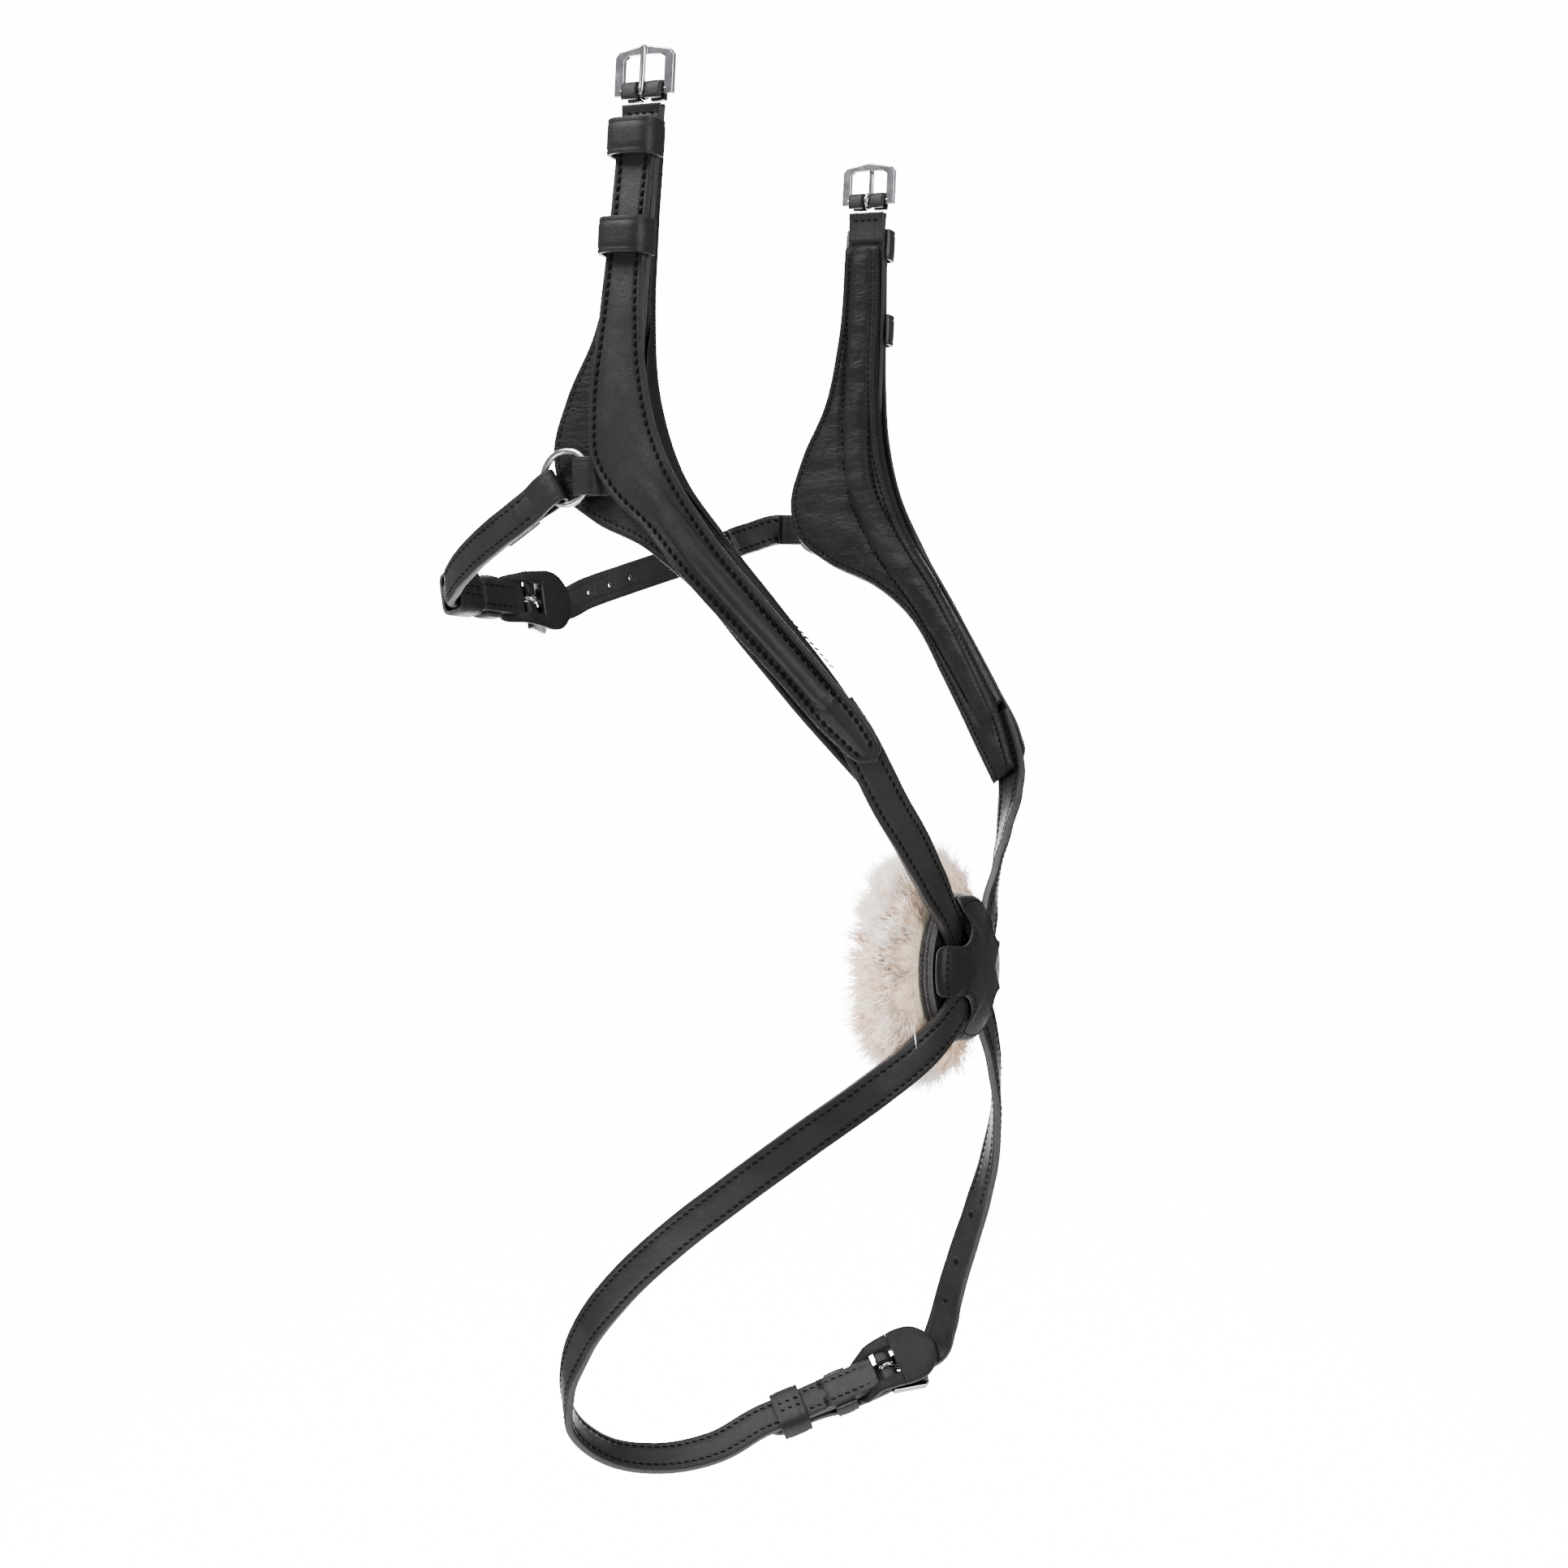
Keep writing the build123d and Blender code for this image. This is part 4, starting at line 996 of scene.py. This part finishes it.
UPPER = STRAP_THICK + 0.3
near_run = as_stations([
    ((86.2 + UPPER, 0.0, DISC_Z), (1, 0, 0)),
    ((89.6, -8.5, -330.0), (1, 0, 0)),
    ((86.6, -20.0, -341.5), (0.97, -0.2, 0)),
    ((81.2, -30.5, -351.0), (0.80, -0.58, -0.04)),
    ((67.0, -45.5, -365.5), (0.55, -0.83, -0.10)),
    ((43.0, -57.0, -384.5), (0.35, -0.93, -0.15)),
    ((18.5, -63.5, -403.5), (0.20, -0.95, -0.20)),
    ((-6.5, -66.0, -423.0), (0.06, -0.97, -0.16)),
    ((-29.5, -65.0, -443.5), (-0.12, -0.97, -0.10)),
    ((-48.5, -60.0, -465.0), (-0.38, -0.90, -0.02)),
    ((-60.5, -52.0, -486.0), (-0.70, -0.65, -0.12)),
    ((-64.0, -42.5, -503.0), (-0.85, -0.20, -0.45)),
    ((-57.0, -30.0, -515.5), (-0.60, 0.15, -0.78)),
    ((-42.0, -14.5, -521.0), (-0.38, 0.42, -0.82)),
    ((-24.5, 3.0, -518.5), (-0.24, 0.60, -0.76)),
    (chin.at(-54, -0.3), chin.n),
    (chin.at(-44, 0.0), chin.n),
    (chin.at(-28, 0.0), chin.n),
    (chin.at(-8, 0.0), chin.n),
])
from_left = strap_sections(nose_part(1, UPPER) + near_run, NOSE_WIDTH, lead_out=chin.s)
strap_left = band("nose_strap_from_left", from_left, wobble=0.15)
place(strap_left, "noseband", "leather", "nose_strap_from_left")
fold_round_bar("chin_fold", chin, NOSE_WIDTH, 1.75, 29.0, 1.75, "noseband")

nose_stitches = Stitches()
nose_stitches.strap_rows(from_right[:billet_from])
nose_stitches.strap_rows(from_right[billet_from:-6], faces=(1,))
nose_stitches.strap_rows(from_left)

# ------------------------------------------------------------------ strap behind the jaw
jaw_near = Buckle(RING_CENTRE, (-0.843, 0, -0.538), (0, -1, 0))
jaw_far = Buckle((RING_CENTRE.x, -RING_CENTRE.y, RING_CENTRE.z), (-0.995, 0, 0.05), (0, 1, 0))
buckle_side = strap_sections([
    (jaw_near.at(17.0, 0), jaw_near.n, STRAP_THICK),
    (jaw_near.at(20.5, 0), jaw_near.n, STRAP_THICK),
    (jaw_near.at(24.0, 0), jaw_near.n, STRAP_THICK),
    ((-62.0, -100.0, -158.8), (-0.22, -0.96, -0.10), STRAP_THICK),
    ((-78.0, -92.8, -166.0), (-0.52, -0.84, -0.12), STRAP_THICK),
    ((-90.8, -84.5, -172.3), (-0.78, -0.60, -0.18), STRAP_THICK),
    (jaw.at(-43, 0.0), jaw.n, STRAP_THICK),
    (jaw.at(-39, 0.0), jaw.n, STRAP_THICK),
    (jaw.at(-28, 0.0), jaw.n, STRAP_THICK),
    (jaw.at(-8, 0.0), jaw.n, STRAP_THICK),
], JAW_WIDTH, lead_in=jaw_near.s, lead_out=jaw.s)
jaw_buckle_side = band("jaw_strap_buckle_side", buckle_side, wobble=0.1)
place(jaw_buckle_side, "jaw_strap", "leather", "jaw_strap_buckle_side")
fold_round_bar("jaw_fold", jaw, JAW_WIDTH, 1.75, 29.0, 1.75, "jaw_strap")
ring_loop("jaw_near_loop", jaw_near, JAW_WIDTH, 1.75, 25.0, 16.0, 0.0, "jaw_strap", None, 6.5)

billet_side = strap_sections([
    (jaw_far.at(18.0, 0), jaw_far.n, STRAP_THICK),
    ((-56.0, 92.5, -143.2), (-0.45, 0.88, -0.05), 3.2),
    ((-62.5, 72.0, -150.0), (-0.82, 0.55, -0.12), BILLET_THICK),
    ((-70.0, 46.0, -158.0), (-0.93, 0.32, -0.14), BILLET_THICK),
    ((-78.5, 20.0, -166.5), (-0.94, 0.28, -0.16), BILLET_THICK),
    ((-85.5, 2.0, -173.0), (-0.95, 0.24, -0.18), BILLET_THICK),
] + billet_run(jaw, -44), JAW_WIDTH, lead_in=jaw_far.s, lead_out=-jaw.s)
jaw_billet = band("jaw_strap_billet_side", point_the_tip(billet_side), wobble=0.1)
jaw_holes = [(jaw.at(-13, 6.2), jaw.n, jaw.s)]
jaw_holes += [((-80.9 - 4.2 * i, 13.6 - 10 * i, -168.8 - 3.6 * i), (-0.95, 0.25, -0.17), (0, 1, 0))
              for i in (-1, 0, 1)]
cut_holes(jaw_billet, jaw_holes, slot=(jaw.at(7.4, 3.7), jaw.n, jaw.s))
place(jaw_billet, "jaw_strap", "leather", "jaw_strap_billet_side")
ring_loop("jaw_far_loop", jaw_far, JAW_WIDTH, 1.75, 20.5, 16.0, 0.0, "jaw_strap", None, 6.5)


def turned_end(name, sections, face, thick, body):
    """The turned-back ply that lies along a strap's face, sewn down."""
    places = [s.at(0, face * (s.thick / 2 + thick / 2 + 0.05)) for s in sections]
    return place(band(name, path_sections(places, [s.out for s in sections], JAW_WIDTH, thick),
                      groove_at=2.4, groove_deep=0.2, crown=0.0), body, "leather")


turned_end("jaw_far_turned_end", billet_side[:15], -1, 1.5, "jaw_strap")
turned_end("jaw_near_turned_end", buckle_side[6:26], -1, 1.4, "jaw_strap")
jaw_stitches = Stitches()
jaw_stitches.strap_rows(buckle_side[6:], faces=(1,))
jaw_stitches.strap_rows(buckle_side[6:26], faces=(-1,), deep=-1.45)
jaw_stitches.strap_rows(buckle_side[28:], faces=(-1,))
jaw_stitches.strap_rows(billet_side[:15], faces=(-1,), deep=-1.55)
jaw_stitches.strap_rows(billet_side[:20], faces=(1,))


# ------------------------------------------------------------------ buckle guards and keepers
def smooth_width(s, knots):
    return float(np.interp(s, [k[0] for k in knots], [k[1] for k in knots]))


def guard(name, buckle, strap_width, body, node, rows):
    """Guard under a buckle: stem outside the strap, window, and a round head inside it."""
    scale = strap_width / NOSE_WIDTH
    outline = curve_points([Vector((s, w * scale, 0)) for s, w in (
        (-16.2, 6.7), (-13, 9.6), (-7, 11.0), (2, 12.4), (10, 13.2), (14.5, 12.2), (18, 9.4),
        (20.4, 5.6), (21.5, 0.6))], per_span=8)
    knots = [(-23, 6.3 * scale)] + [(p.x, p.y) for p in outline]
    spots = [(-23, 3.3), (-16.5, 3.3), (-13.2, 2.6), (-9, -0.4), (-5.4, -3.2), (-1.5, -3.8),
             (6, -3.7), (14, -3.3), (21.4, -3.1)]
    line = curve_points([Vector((s, n, 0)) for s, n in spots], per_span=14)
    window = strap_width / 2 - 0.3

    def piece(label, low, high, inner):
        chosen = [(i, p) for i, p in enumerate(line) if low <= p.x <= high]
        hands = (1, -1) if inner else (0,)
        for hand in hands:
            points, outs, widths = [], [], []
            for i, p in chosen:
                step = (line[min(i + 1, len(line) - 1)] - line[max(i - 1, 0)]).normalized()
                half = smooth_width(p.x, knots)
                middle = hand * (half + inner) / 2
                points.append(buckle.at(p.x, p.y, middle))
                outs.append(buckle.n * step.x - buckle.s * step.y)
                widths.append(half - inner if inner else 2 * half)
            obj = band(f"{name}_{label}{'_b' if hand < 0 else ''}",
                       path_sections(points, outs, widths, GUARD_THICK),
                       groove_at=1.6, groove_deep=0.22, crown=0.03,
                       mats=[GUARD_SUEDE, EDGE])
            place(obj, body, "leather", *([node] if label == "head" else []))
    piece("stem", -23, -13.6, 0)
    piece("rail", -14.0, 4.6, window)
    piece("head", 3.9, 21.5, 0)
    pts = [buckle.at(-21.5, 3.3 + 0.8, w * 0.5) for w in range(-9, 10)]
    rows.row(pts, [buckle.n] * len(pts), pitch=2.4, length=1.8)


guard("chin_guard", chin, NOSE_WIDTH, "noseband", "chin_buckle_guard", nose_stitches)
guard("jaw_guard", jaw, JAW_WIDTH, "jaw_strap", "jaw_buckle_guard", jaw_stitches)
chin_slide = Stitches()
jaw_slide = Stitches()
keeper_loop("chin_fixed_keeper", chin, -21.0, 9.0, NOSE_WIDTH / 2 + 0.1, 0.0, 8.1, False,
            "noseband", "chin_keeper_fixed")
keeper_loop("chin_sliding_keeper", chin, -43.0, 12.0, NOSE_WIDTH / 2 + 0.45, -2.3, 5.9, True,
            "chin_keeper", "chin_keeper_sliding", chin_slide)
keeper_loop("jaw_fixed_keeper", jaw, -21.0, 9.0, JAW_WIDTH / 2 + 0.1, 0.0, 8.1, False,
            "jaw_strap", "jaw_keeper_fixed")
keeper_loop("jaw_sliding_keeper", jaw, -36.5, 12.0, JAW_WIDTH / 2 + 0.45, -2.3, 5.9, True,
            "jaw_keeper", "jaw_keeper_sliding", jaw_slide)
nose_stitches.make("nose_strap_stitches", "noseband")
jaw_stitches.make("jaw_strap_stitches", "jaw_strap")
chin_slide.make("chin_keeper_stitches", "chin_keeper")
jaw_slide.make("jaw_keeper_stitches", "jaw_keeper")

# ------------------------------------------------------------------ nose disc
DISC_RADIUS = 28.0
SCALLOP_RADIUS, SCALLOP_REACH = 9.6, 26.2


def disc_point(x, r, a):
    return Vector((x, r * math.cos(a), DISC_Z + r * math.sin(a)))


def turned_disc(name, rings, mats, mat_of, segments=120, rough=0.0, seed=0.0):
    """Lathe round the disc's middle through (x, r) rings; both ends close on the axis."""
    verts = [disc_point(rings[0][0], 0, 0)]
    faces, face_mats = [], []
    for x, r in rings:
        for k in range(segments):
            a = math.tau * k / segments
            p = disc_point(x, r, a)
            if rough:
                bump = rough * noise.noise(p * 0.9 + Vector((seed, 0, 0)))
                p += Vector((0, math.cos(a), math.sin(a))) * bump
            verts.append(p)
    verts.append(disc_point(rings[-1][0], 0, 0))
    last = len(verts) - 1
    for k in range(segments):
        m = (k + 1) % segments
        faces.append((0, 1 + m, 1 + k))
        face_mats.append(mat_of(0))
    faces += tube_faces(1, len(rings), segments)
    for i in range(len(rings) - 1):
        face_mats += [mat_of(i)] * segments
    end = 1 + (len(rings) - 1) * segments
    for k in range(segments):
        faces.append((end + k, end + (k + 1) % segments, last))
        face_mats.append(mat_of(len(rings) - 1))
    return make_object(name, verts, faces, mats, face_mats)


def cover_reach(a):
    """The cover's outline radius at an angle: a circle with four scallops."""
    nearest = (a - math.pi / 4) % (math.pi / 2)
    off = min(nearest, math.pi / 2 - nearest)
    if SCALLOP_REACH * math.sin(off) < SCALLOP_RADIUS:
        cut = SCALLOP_REACH * math.cos(off) - math.sqrt(
            SCALLOP_RADIUS ** 2 - (SCALLOP_REACH * math.sin(off)) ** 2)
        return min(cut, DISC_RADIUS)
    return DISC_RADIUS


def cover_height(r, a):
    """X of the cover's outer face: high over the straps, sewn down between them."""
    nearest = (a - math.pi / 4) % (math.pi / 2)
    off = min(nearest, math.pi / 2 - nearest)
    arm = 1 - float(smooth_step(r * math.sin(off), 5.0, 9.0))
    over = 94.5 - 1.1 * (r / 17.0) ** 2
    between = 86.4 + 8.1 * max(0.0, 1 - (r / DISC_RADIUS) ** 2) ** 0.62
    return over * arm + between * (1 - arm)


def build_cover():
    segments, rings = 240, 22
    reach = [cover_reach(math.tau * k / segments) for k in range(segments)]
    for _ in range(8):
        reach = [0.25 * reach[k - 1] + 0.5 * reach[k] + 0.25 * reach[(k + 1) % segments]
                 for k in range(segments)]
    verts, faces, face_mats = [], [], []
    thick = 1.8
    for side in (0, 1):
        for i in range(1, rings + 1):
            share = i / rings
            share = 1 - (1 - share) ** 1.6
            for k in range(segments):
                a = math.tau * k / segments
                r = reach[k] * share
                back = (1 - math.sqrt(max(0.0, 1 - max(0.0, (r - reach[k] + 0.7) / 0.7) ** 2))) * 0.7
                x = cover_height(r, a)
                verts.append(disc_point(x - (thick - back if side else back), r, a))
    centre = len(verts)
    verts += [disc_point(94.5, 0, 0), disc_point(94.5 - thick, 0, 0)]

    def at(side, i, k):
        return side * rings * segments + i * segments + k % segments
    for side in (0, 1):
        for k in range(segments):
            faces.append((centre + side, at(side, 0, k), at(side, 0, k + 1)))
            face_mats.append(0)
            for i in range(rings - 1):
                faces.append((at(side, i, k), at(side, i + 1, k), at(side, i + 1, k + 1),
                              at(side, i, k + 1)))
                face_mats.append(0)
    for k in range(segments):
        faces.append((at(0, rings - 1, k), at(1, rings - 1, k), at(1, rings - 1, k + 1),
                      at(0, rings - 1, k + 1)))
        face_mats.append(1)
    cover = make_object("nose_cover", verts, faces, [COVER, CUT_EDGE], face_mats)
    place(cover, "noseband", "leather", "nose_cover")
    rows = Stitches()
    for quarter in range(4):
        middle = math.pi / 4 + quarter * math.pi / 2
        lo, hi = middle - 0.35, middle + 0.35
        pts = []
        for j in range(60):
            a = lo + (hi - lo) * j / 59
            r = cover_reach(a) - 2.2
            pts.append(disc_point(cover_height(r, a) - 0.05, r, a))
        rows.row(pts, [Vector((1, 0, 0))] * len(pts), pitch=2.4, length=1.7, thick=0.28)
        lo, hi = quarter * math.pi / 2 - 0.38, quarter * math.pi / 2 + 0.38
        pts = [disc_point(cover_height(25.6, lo + (hi - lo) * j / 39) + 0.02, 25.6,
                          lo + (hi - lo) * j / 39) for j in range(40)]
        rows.row(pts, [Vector((1, 0, 0))] * len(pts), pitch=2.4, length=1.8, thick=0.3)
    rows.make("nose_cover_stitches", "noseband")


build_cover()
base_rings = [(81.9, 27.0), (81.95, 27.6), (82.2, 28.0), (82.7, 28.15), (83.0, 27.85), (83.3, 28.15),
              (83.8, 28.0), (84.1, 27.6), (84.2, 27.0)]
base = turned_disc("nose_base", base_rings, [LEATHER, CUT_EDGE],
                   lambda i: 1 if 1 <= i <= 6 else 0)
place(base, "noseband", "leather", "nose_base")
hook = turned_disc("nose_hook_tape", [(80.1, 26.9), (80.2, 27.5), (80.8, 27.7), (81.45, 27.5),
                                      (81.6, 26.9)], [TAPE], lambda i: 0, rough=0.5, seed=3.0)
place(hook, "noseband", "hook_and_loop", "nose_hook_tape")
loop = turned_disc("nose_loop_tape", [(78.3, 26.4), (78.4, 27.0), (79.0, 27.3), (79.65, 27.0),
                                      (79.8, 26.4)], [TAPE], lambda i: 0, rough=0.6, seed=9.0)
place(loop, "fleece_pad", "hook_and_loop", "nose_loop_tape")


def hairs(name, roots, mats, body, slot, sides=3, nodes=(), steps=4):
    """Tapered hairs from (root, direction, length, thickness, curl) as one mesh."""
    verts, faces, tips = [], [], []
    for root, way, length, thick, curl in roots:
        way = way.normalized()
        side = way.orthogonal().normalized()
        side.rotate(Matrix.Rotation(rng.uniform(0, math.tau), 3, way))
        other = way.cross(side)
        base = len(verts)
        for i in range(steps + 1):
            t = i / steps
            middle = (root + way * (length * t) + side * (curl * length * math.sin(t * 4.2) * t)
                      + other * (curl * length * 0.6 * math.sin(t * 5.5 + 1) * t))
            if i == steps:
                verts.append(middle)
                tips.append(1.0)
                break
            size = thick * (1 - 0.75 * t)
            for k in range(sides):
                a = math.tau * k / sides
                verts.append(middle + side * (math.cos(a) * size) + other * (math.sin(a) * size))
                tips.append(t)
        faces += tube_faces(base, steps, sides)
        top = base + steps * sides
        for k in range(sides):
            a = base + (steps - 1) * sides
            faces.append((a + k, a + (k + 1) % sides, top))
        faces.append(tuple(base + k for k in reversed(range(sides))))
    mesh = bpy.data.meshes.new(name)
    mesh.from_pydata([tuple(c * MM for c in v) for v in verts], [], faces)
    for mat in mats:
        mesh.materials.append(mat)
    mesh.polygons.foreach_set("use_smooth", [True] * len(mesh.polygons))
    layer = mesh.attributes.new("tip", "FLOAT", "POINT")
    layer.data.foreach_set("value", tips)
    obj = bpy.data.objects.new(name, mesh)
    bpy.context.scene.collection.objects.link(obj)
    return place(obj, body, slot, *nodes)


fuzz = {"hook": [], "loop": []}
for kind, x, radius, number in (("hook", 80.85, 27.5, 900), ("loop", 79.05, 27.0, 1300)):
    for _ in range(number):
        a = rng.uniform(0, math.tau)
        root = disc_point(x + rng.uniform(-0.65, 0.65), radius, a)
        way = Vector((rng.uniform(-0.5, 0.5), math.cos(a), math.sin(a)))
        fuzz[kind].append((root, way, rng.uniform(0.6, 1.5), 0.07, 0.35))
hairs("hook_fuzz", fuzz["hook"], [TAPE], "noseband", "hook_and_loop", steps=3)
hairs("loop_fuzz", fuzz["loop"], [TAPE], "fleece_pad", "hook_and_loop", steps=3)

# ------------------------------------------------------------------ fleece
skin = turned_disc("fleece_skin", [(76.3, 29.5), (76.4, 30.6), (77.1, 31.0), (77.8, 30.6),
                                   (78.0, 29.5)], [SKIN], lambda i: 0, rough=0.5, seed=5.0)
place(skin, "fleece_pad", "sheepskin", "fleece_skin")
wool_rings = [(76.2, 28.0), (77.4, 31.8), (76.6, 35.5), (74.2, 38.6), (71.0, 39.6),
              (67.4, 38.4), (62.5, 36.8), (57.6, 33.6), (54.6, 27.0), (53.2, 18.0), (52.8, 8.0)]
wool_body = turned_disc("fleece_body", wool_rings, [WOOL], lambda i: 0, rough=2.4, seed=2.0)
tip_layer = wool_body.data.attributes.new("tip", "FLOAT", "POINT")
tip_layer.data.foreach_set("value", [0.25] * len(wool_body.data.vertices))
place(wool_body, "fleece_pad", "wool")


GOLDEN_SHARE = 0.618034    # of a turn from one lock to the next, which spreads them evenly


def wool_locks(number, per_lock):
    """Clumped locks: straight back in the middle, and outward all round the wool's side."""
    wool_x = [ring[0] for ring in reversed(wool_rings[1:])]
    wool_r = [ring[1] for ring in reversed(wool_rings[1:])]
    roots = []
    for i in range(number):
        a = math.tau * i * GOLDEN_SHARE + rng.uniform(-0.1, 0.1)
        share = math.sqrt((i + 0.5) / number)
        r = 38.5 * share
        lean = smooth_step(np.float64(r), 14.0, 36.0)
        x = 76.0 - 17.5 * (1 - 0.8 * float(lean)) + rng.uniform(-1.5, 1.5)
        outward = Vector((0, math.cos(a), math.sin(a)))
        way = Vector((-1.0 + 0.85 * float(lean), 0, 0)) + outward * (0.15 + 1.0 * float(lean))
        way += Vector((rng.gauss(0, 0.16), rng.gauss(0, 0.16), rng.gauss(0, 0.16)))
        if share > 0.6:
            x = rng.uniform(56.0, 77.5)
            r = float(np.interp(x, wool_x, wool_r)) * 1.04
            way = outward + Vector((rng.uniform(-0.9, 0.25), rng.gauss(0, 0.2), rng.gauss(0, 0.2)))
        centre = disc_point(x, r * 0.93, a)
        length = rng.uniform(7.0, 12.0)
        lock_curl = rng.uniform(0.02, 0.10)
        for _ in range(per_lock):
            spread = Vector((rng.gauss(0, 0.9), rng.gauss(0, 1.3), rng.gauss(0, 1.3)))
            bend = Vector((rng.gauss(0, 0.14), rng.gauss(0, 0.14), rng.gauss(0, 0.14)))
            roots.append((centre + spread, way.normalized() + bend - spread * 0.04,
                          length * rng.uniform(0.6, 1.12), rng.uniform(0.13, 0.26), lock_curl))
    return roots


LOCKS, HAIRS_PER_LOCK = ((1900, 18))
locks = wool_locks(LOCKS, HAIRS_PER_LOCK)
hairs("fleece_locks", locks, [WOOL], "fleece_pad", "wool", nodes=("fleece_wool",), steps=5)

# ------------------------------------------------------------------ metal
for node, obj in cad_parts.items():
    if node.endswith("_buckle") or node.endswith("tongue") or node.endswith("_ring"):
        obj.data.materials.clear()
        obj.data.materials.append(STEEL)

# ------------------------------------------------------------------ stage, light and camera
scene = bpy.context.scene
world = bpy.data.worlds.new("studio")
scene.world = world
world.use_nodes = True
world.node_tree.nodes["Background"].inputs["Color"].default_value = (1.0, 1.0, 1.0, 1.0)
world.node_tree.nodes["Background"].inputs["Strength"].default_value = 0.45


def plain(name, colour, glow):
    mat = bpy.data.materials.new(name)
    mat.use_nodes = True
    shader = mat.node_tree.nodes["Principled BSDF"]
    shader.inputs["Base Color"].default_value = (*colour, 1)
    shader.inputs["Roughness"].default_value = 0.9
    shader.inputs["Emission Color"].default_value = (1, 1, 1, 1)
    shader.inputs["Emission Strength"].default_value = glow
    return mat


VIEW_TURN = math.radians(27)
MIDDLE_HEIGHT = -0.2515
BACKDROP_GLOW = 14.0

bpy.ops.mesh.primitive_plane_add(size=12, location=(0, 0, -1.9))
floor = bpy.context.object
floor.name = "floor"
floor.data.materials.append(plain("pale_floor", (0.9, 0.9, 0.9), 0.0))
bpy.ops.mesh.primitive_plane_add(size=3.3, location=(-1.82, 3.56, MIDDLE_HEIGHT),
                                 rotation=(math.pi / 2, 0, VIEW_TURN))
backdrop = bpy.context.object
backdrop.name = "backdrop"
backdrop.data.materials.append(plain("white_backdrop", (0.9, 0.9, 0.9), BACKDROP_GLOW))


def area_light(name, at, target, size, watts, mirrored=True):
    """Rectangular lamp aimed at a place; mirrored says whether shiny surfaces reflect it."""
    data = bpy.data.lights.new(name, "AREA")
    data.shape = "RECTANGLE"
    data.size, data.size_y = size
    data.energy = watts
    obj = bpy.data.objects.new(name, data)
    obj.location = at
    obj.rotation_euler = (Vector(target) - Vector(at)).to_track_quat("-Z", "Y").to_euler()
    obj.visible_glossy = mirrored
    scene.collection.objects.link(obj)


area_light("key", (-0.6, -1.2, 1.15), (0.0, 0.0, -0.25), (1.0, 1.0), 60)
area_light("wool", (-1.2, -0.9, -0.3), (0.065, 0.0, -0.32), (0.6, 0.6), 90,
           mirrored=False)
area_light("fill", (1.5, -0.5, 0.1), (0.0, 0.0, -0.3), (0.6, 1.2), 30)
area_light("top", (0.0, -0.2, 1.3), (0.0, 0.0, -0.2), (1.0, 1.0), 30)
area_light("under", (-0.3, -0.9, -1.1), (0.0, 0.0, -0.4), (0.7, 0.7), 10)

camera = bpy.data.cameras.new("camera")
camera.lens = 57.0
camera.sensor_width = 36.0
camera.clip_start = 0.05
cam = bpy.data.objects.new("camera", camera)
cam.location = (0.4539, -0.8753, MIDDLE_HEIGHT)
cam.rotation_euler = (math.pi / 2, 0, VIEW_TURN)
scene.collection.objects.link(cam)
scene.camera = cam
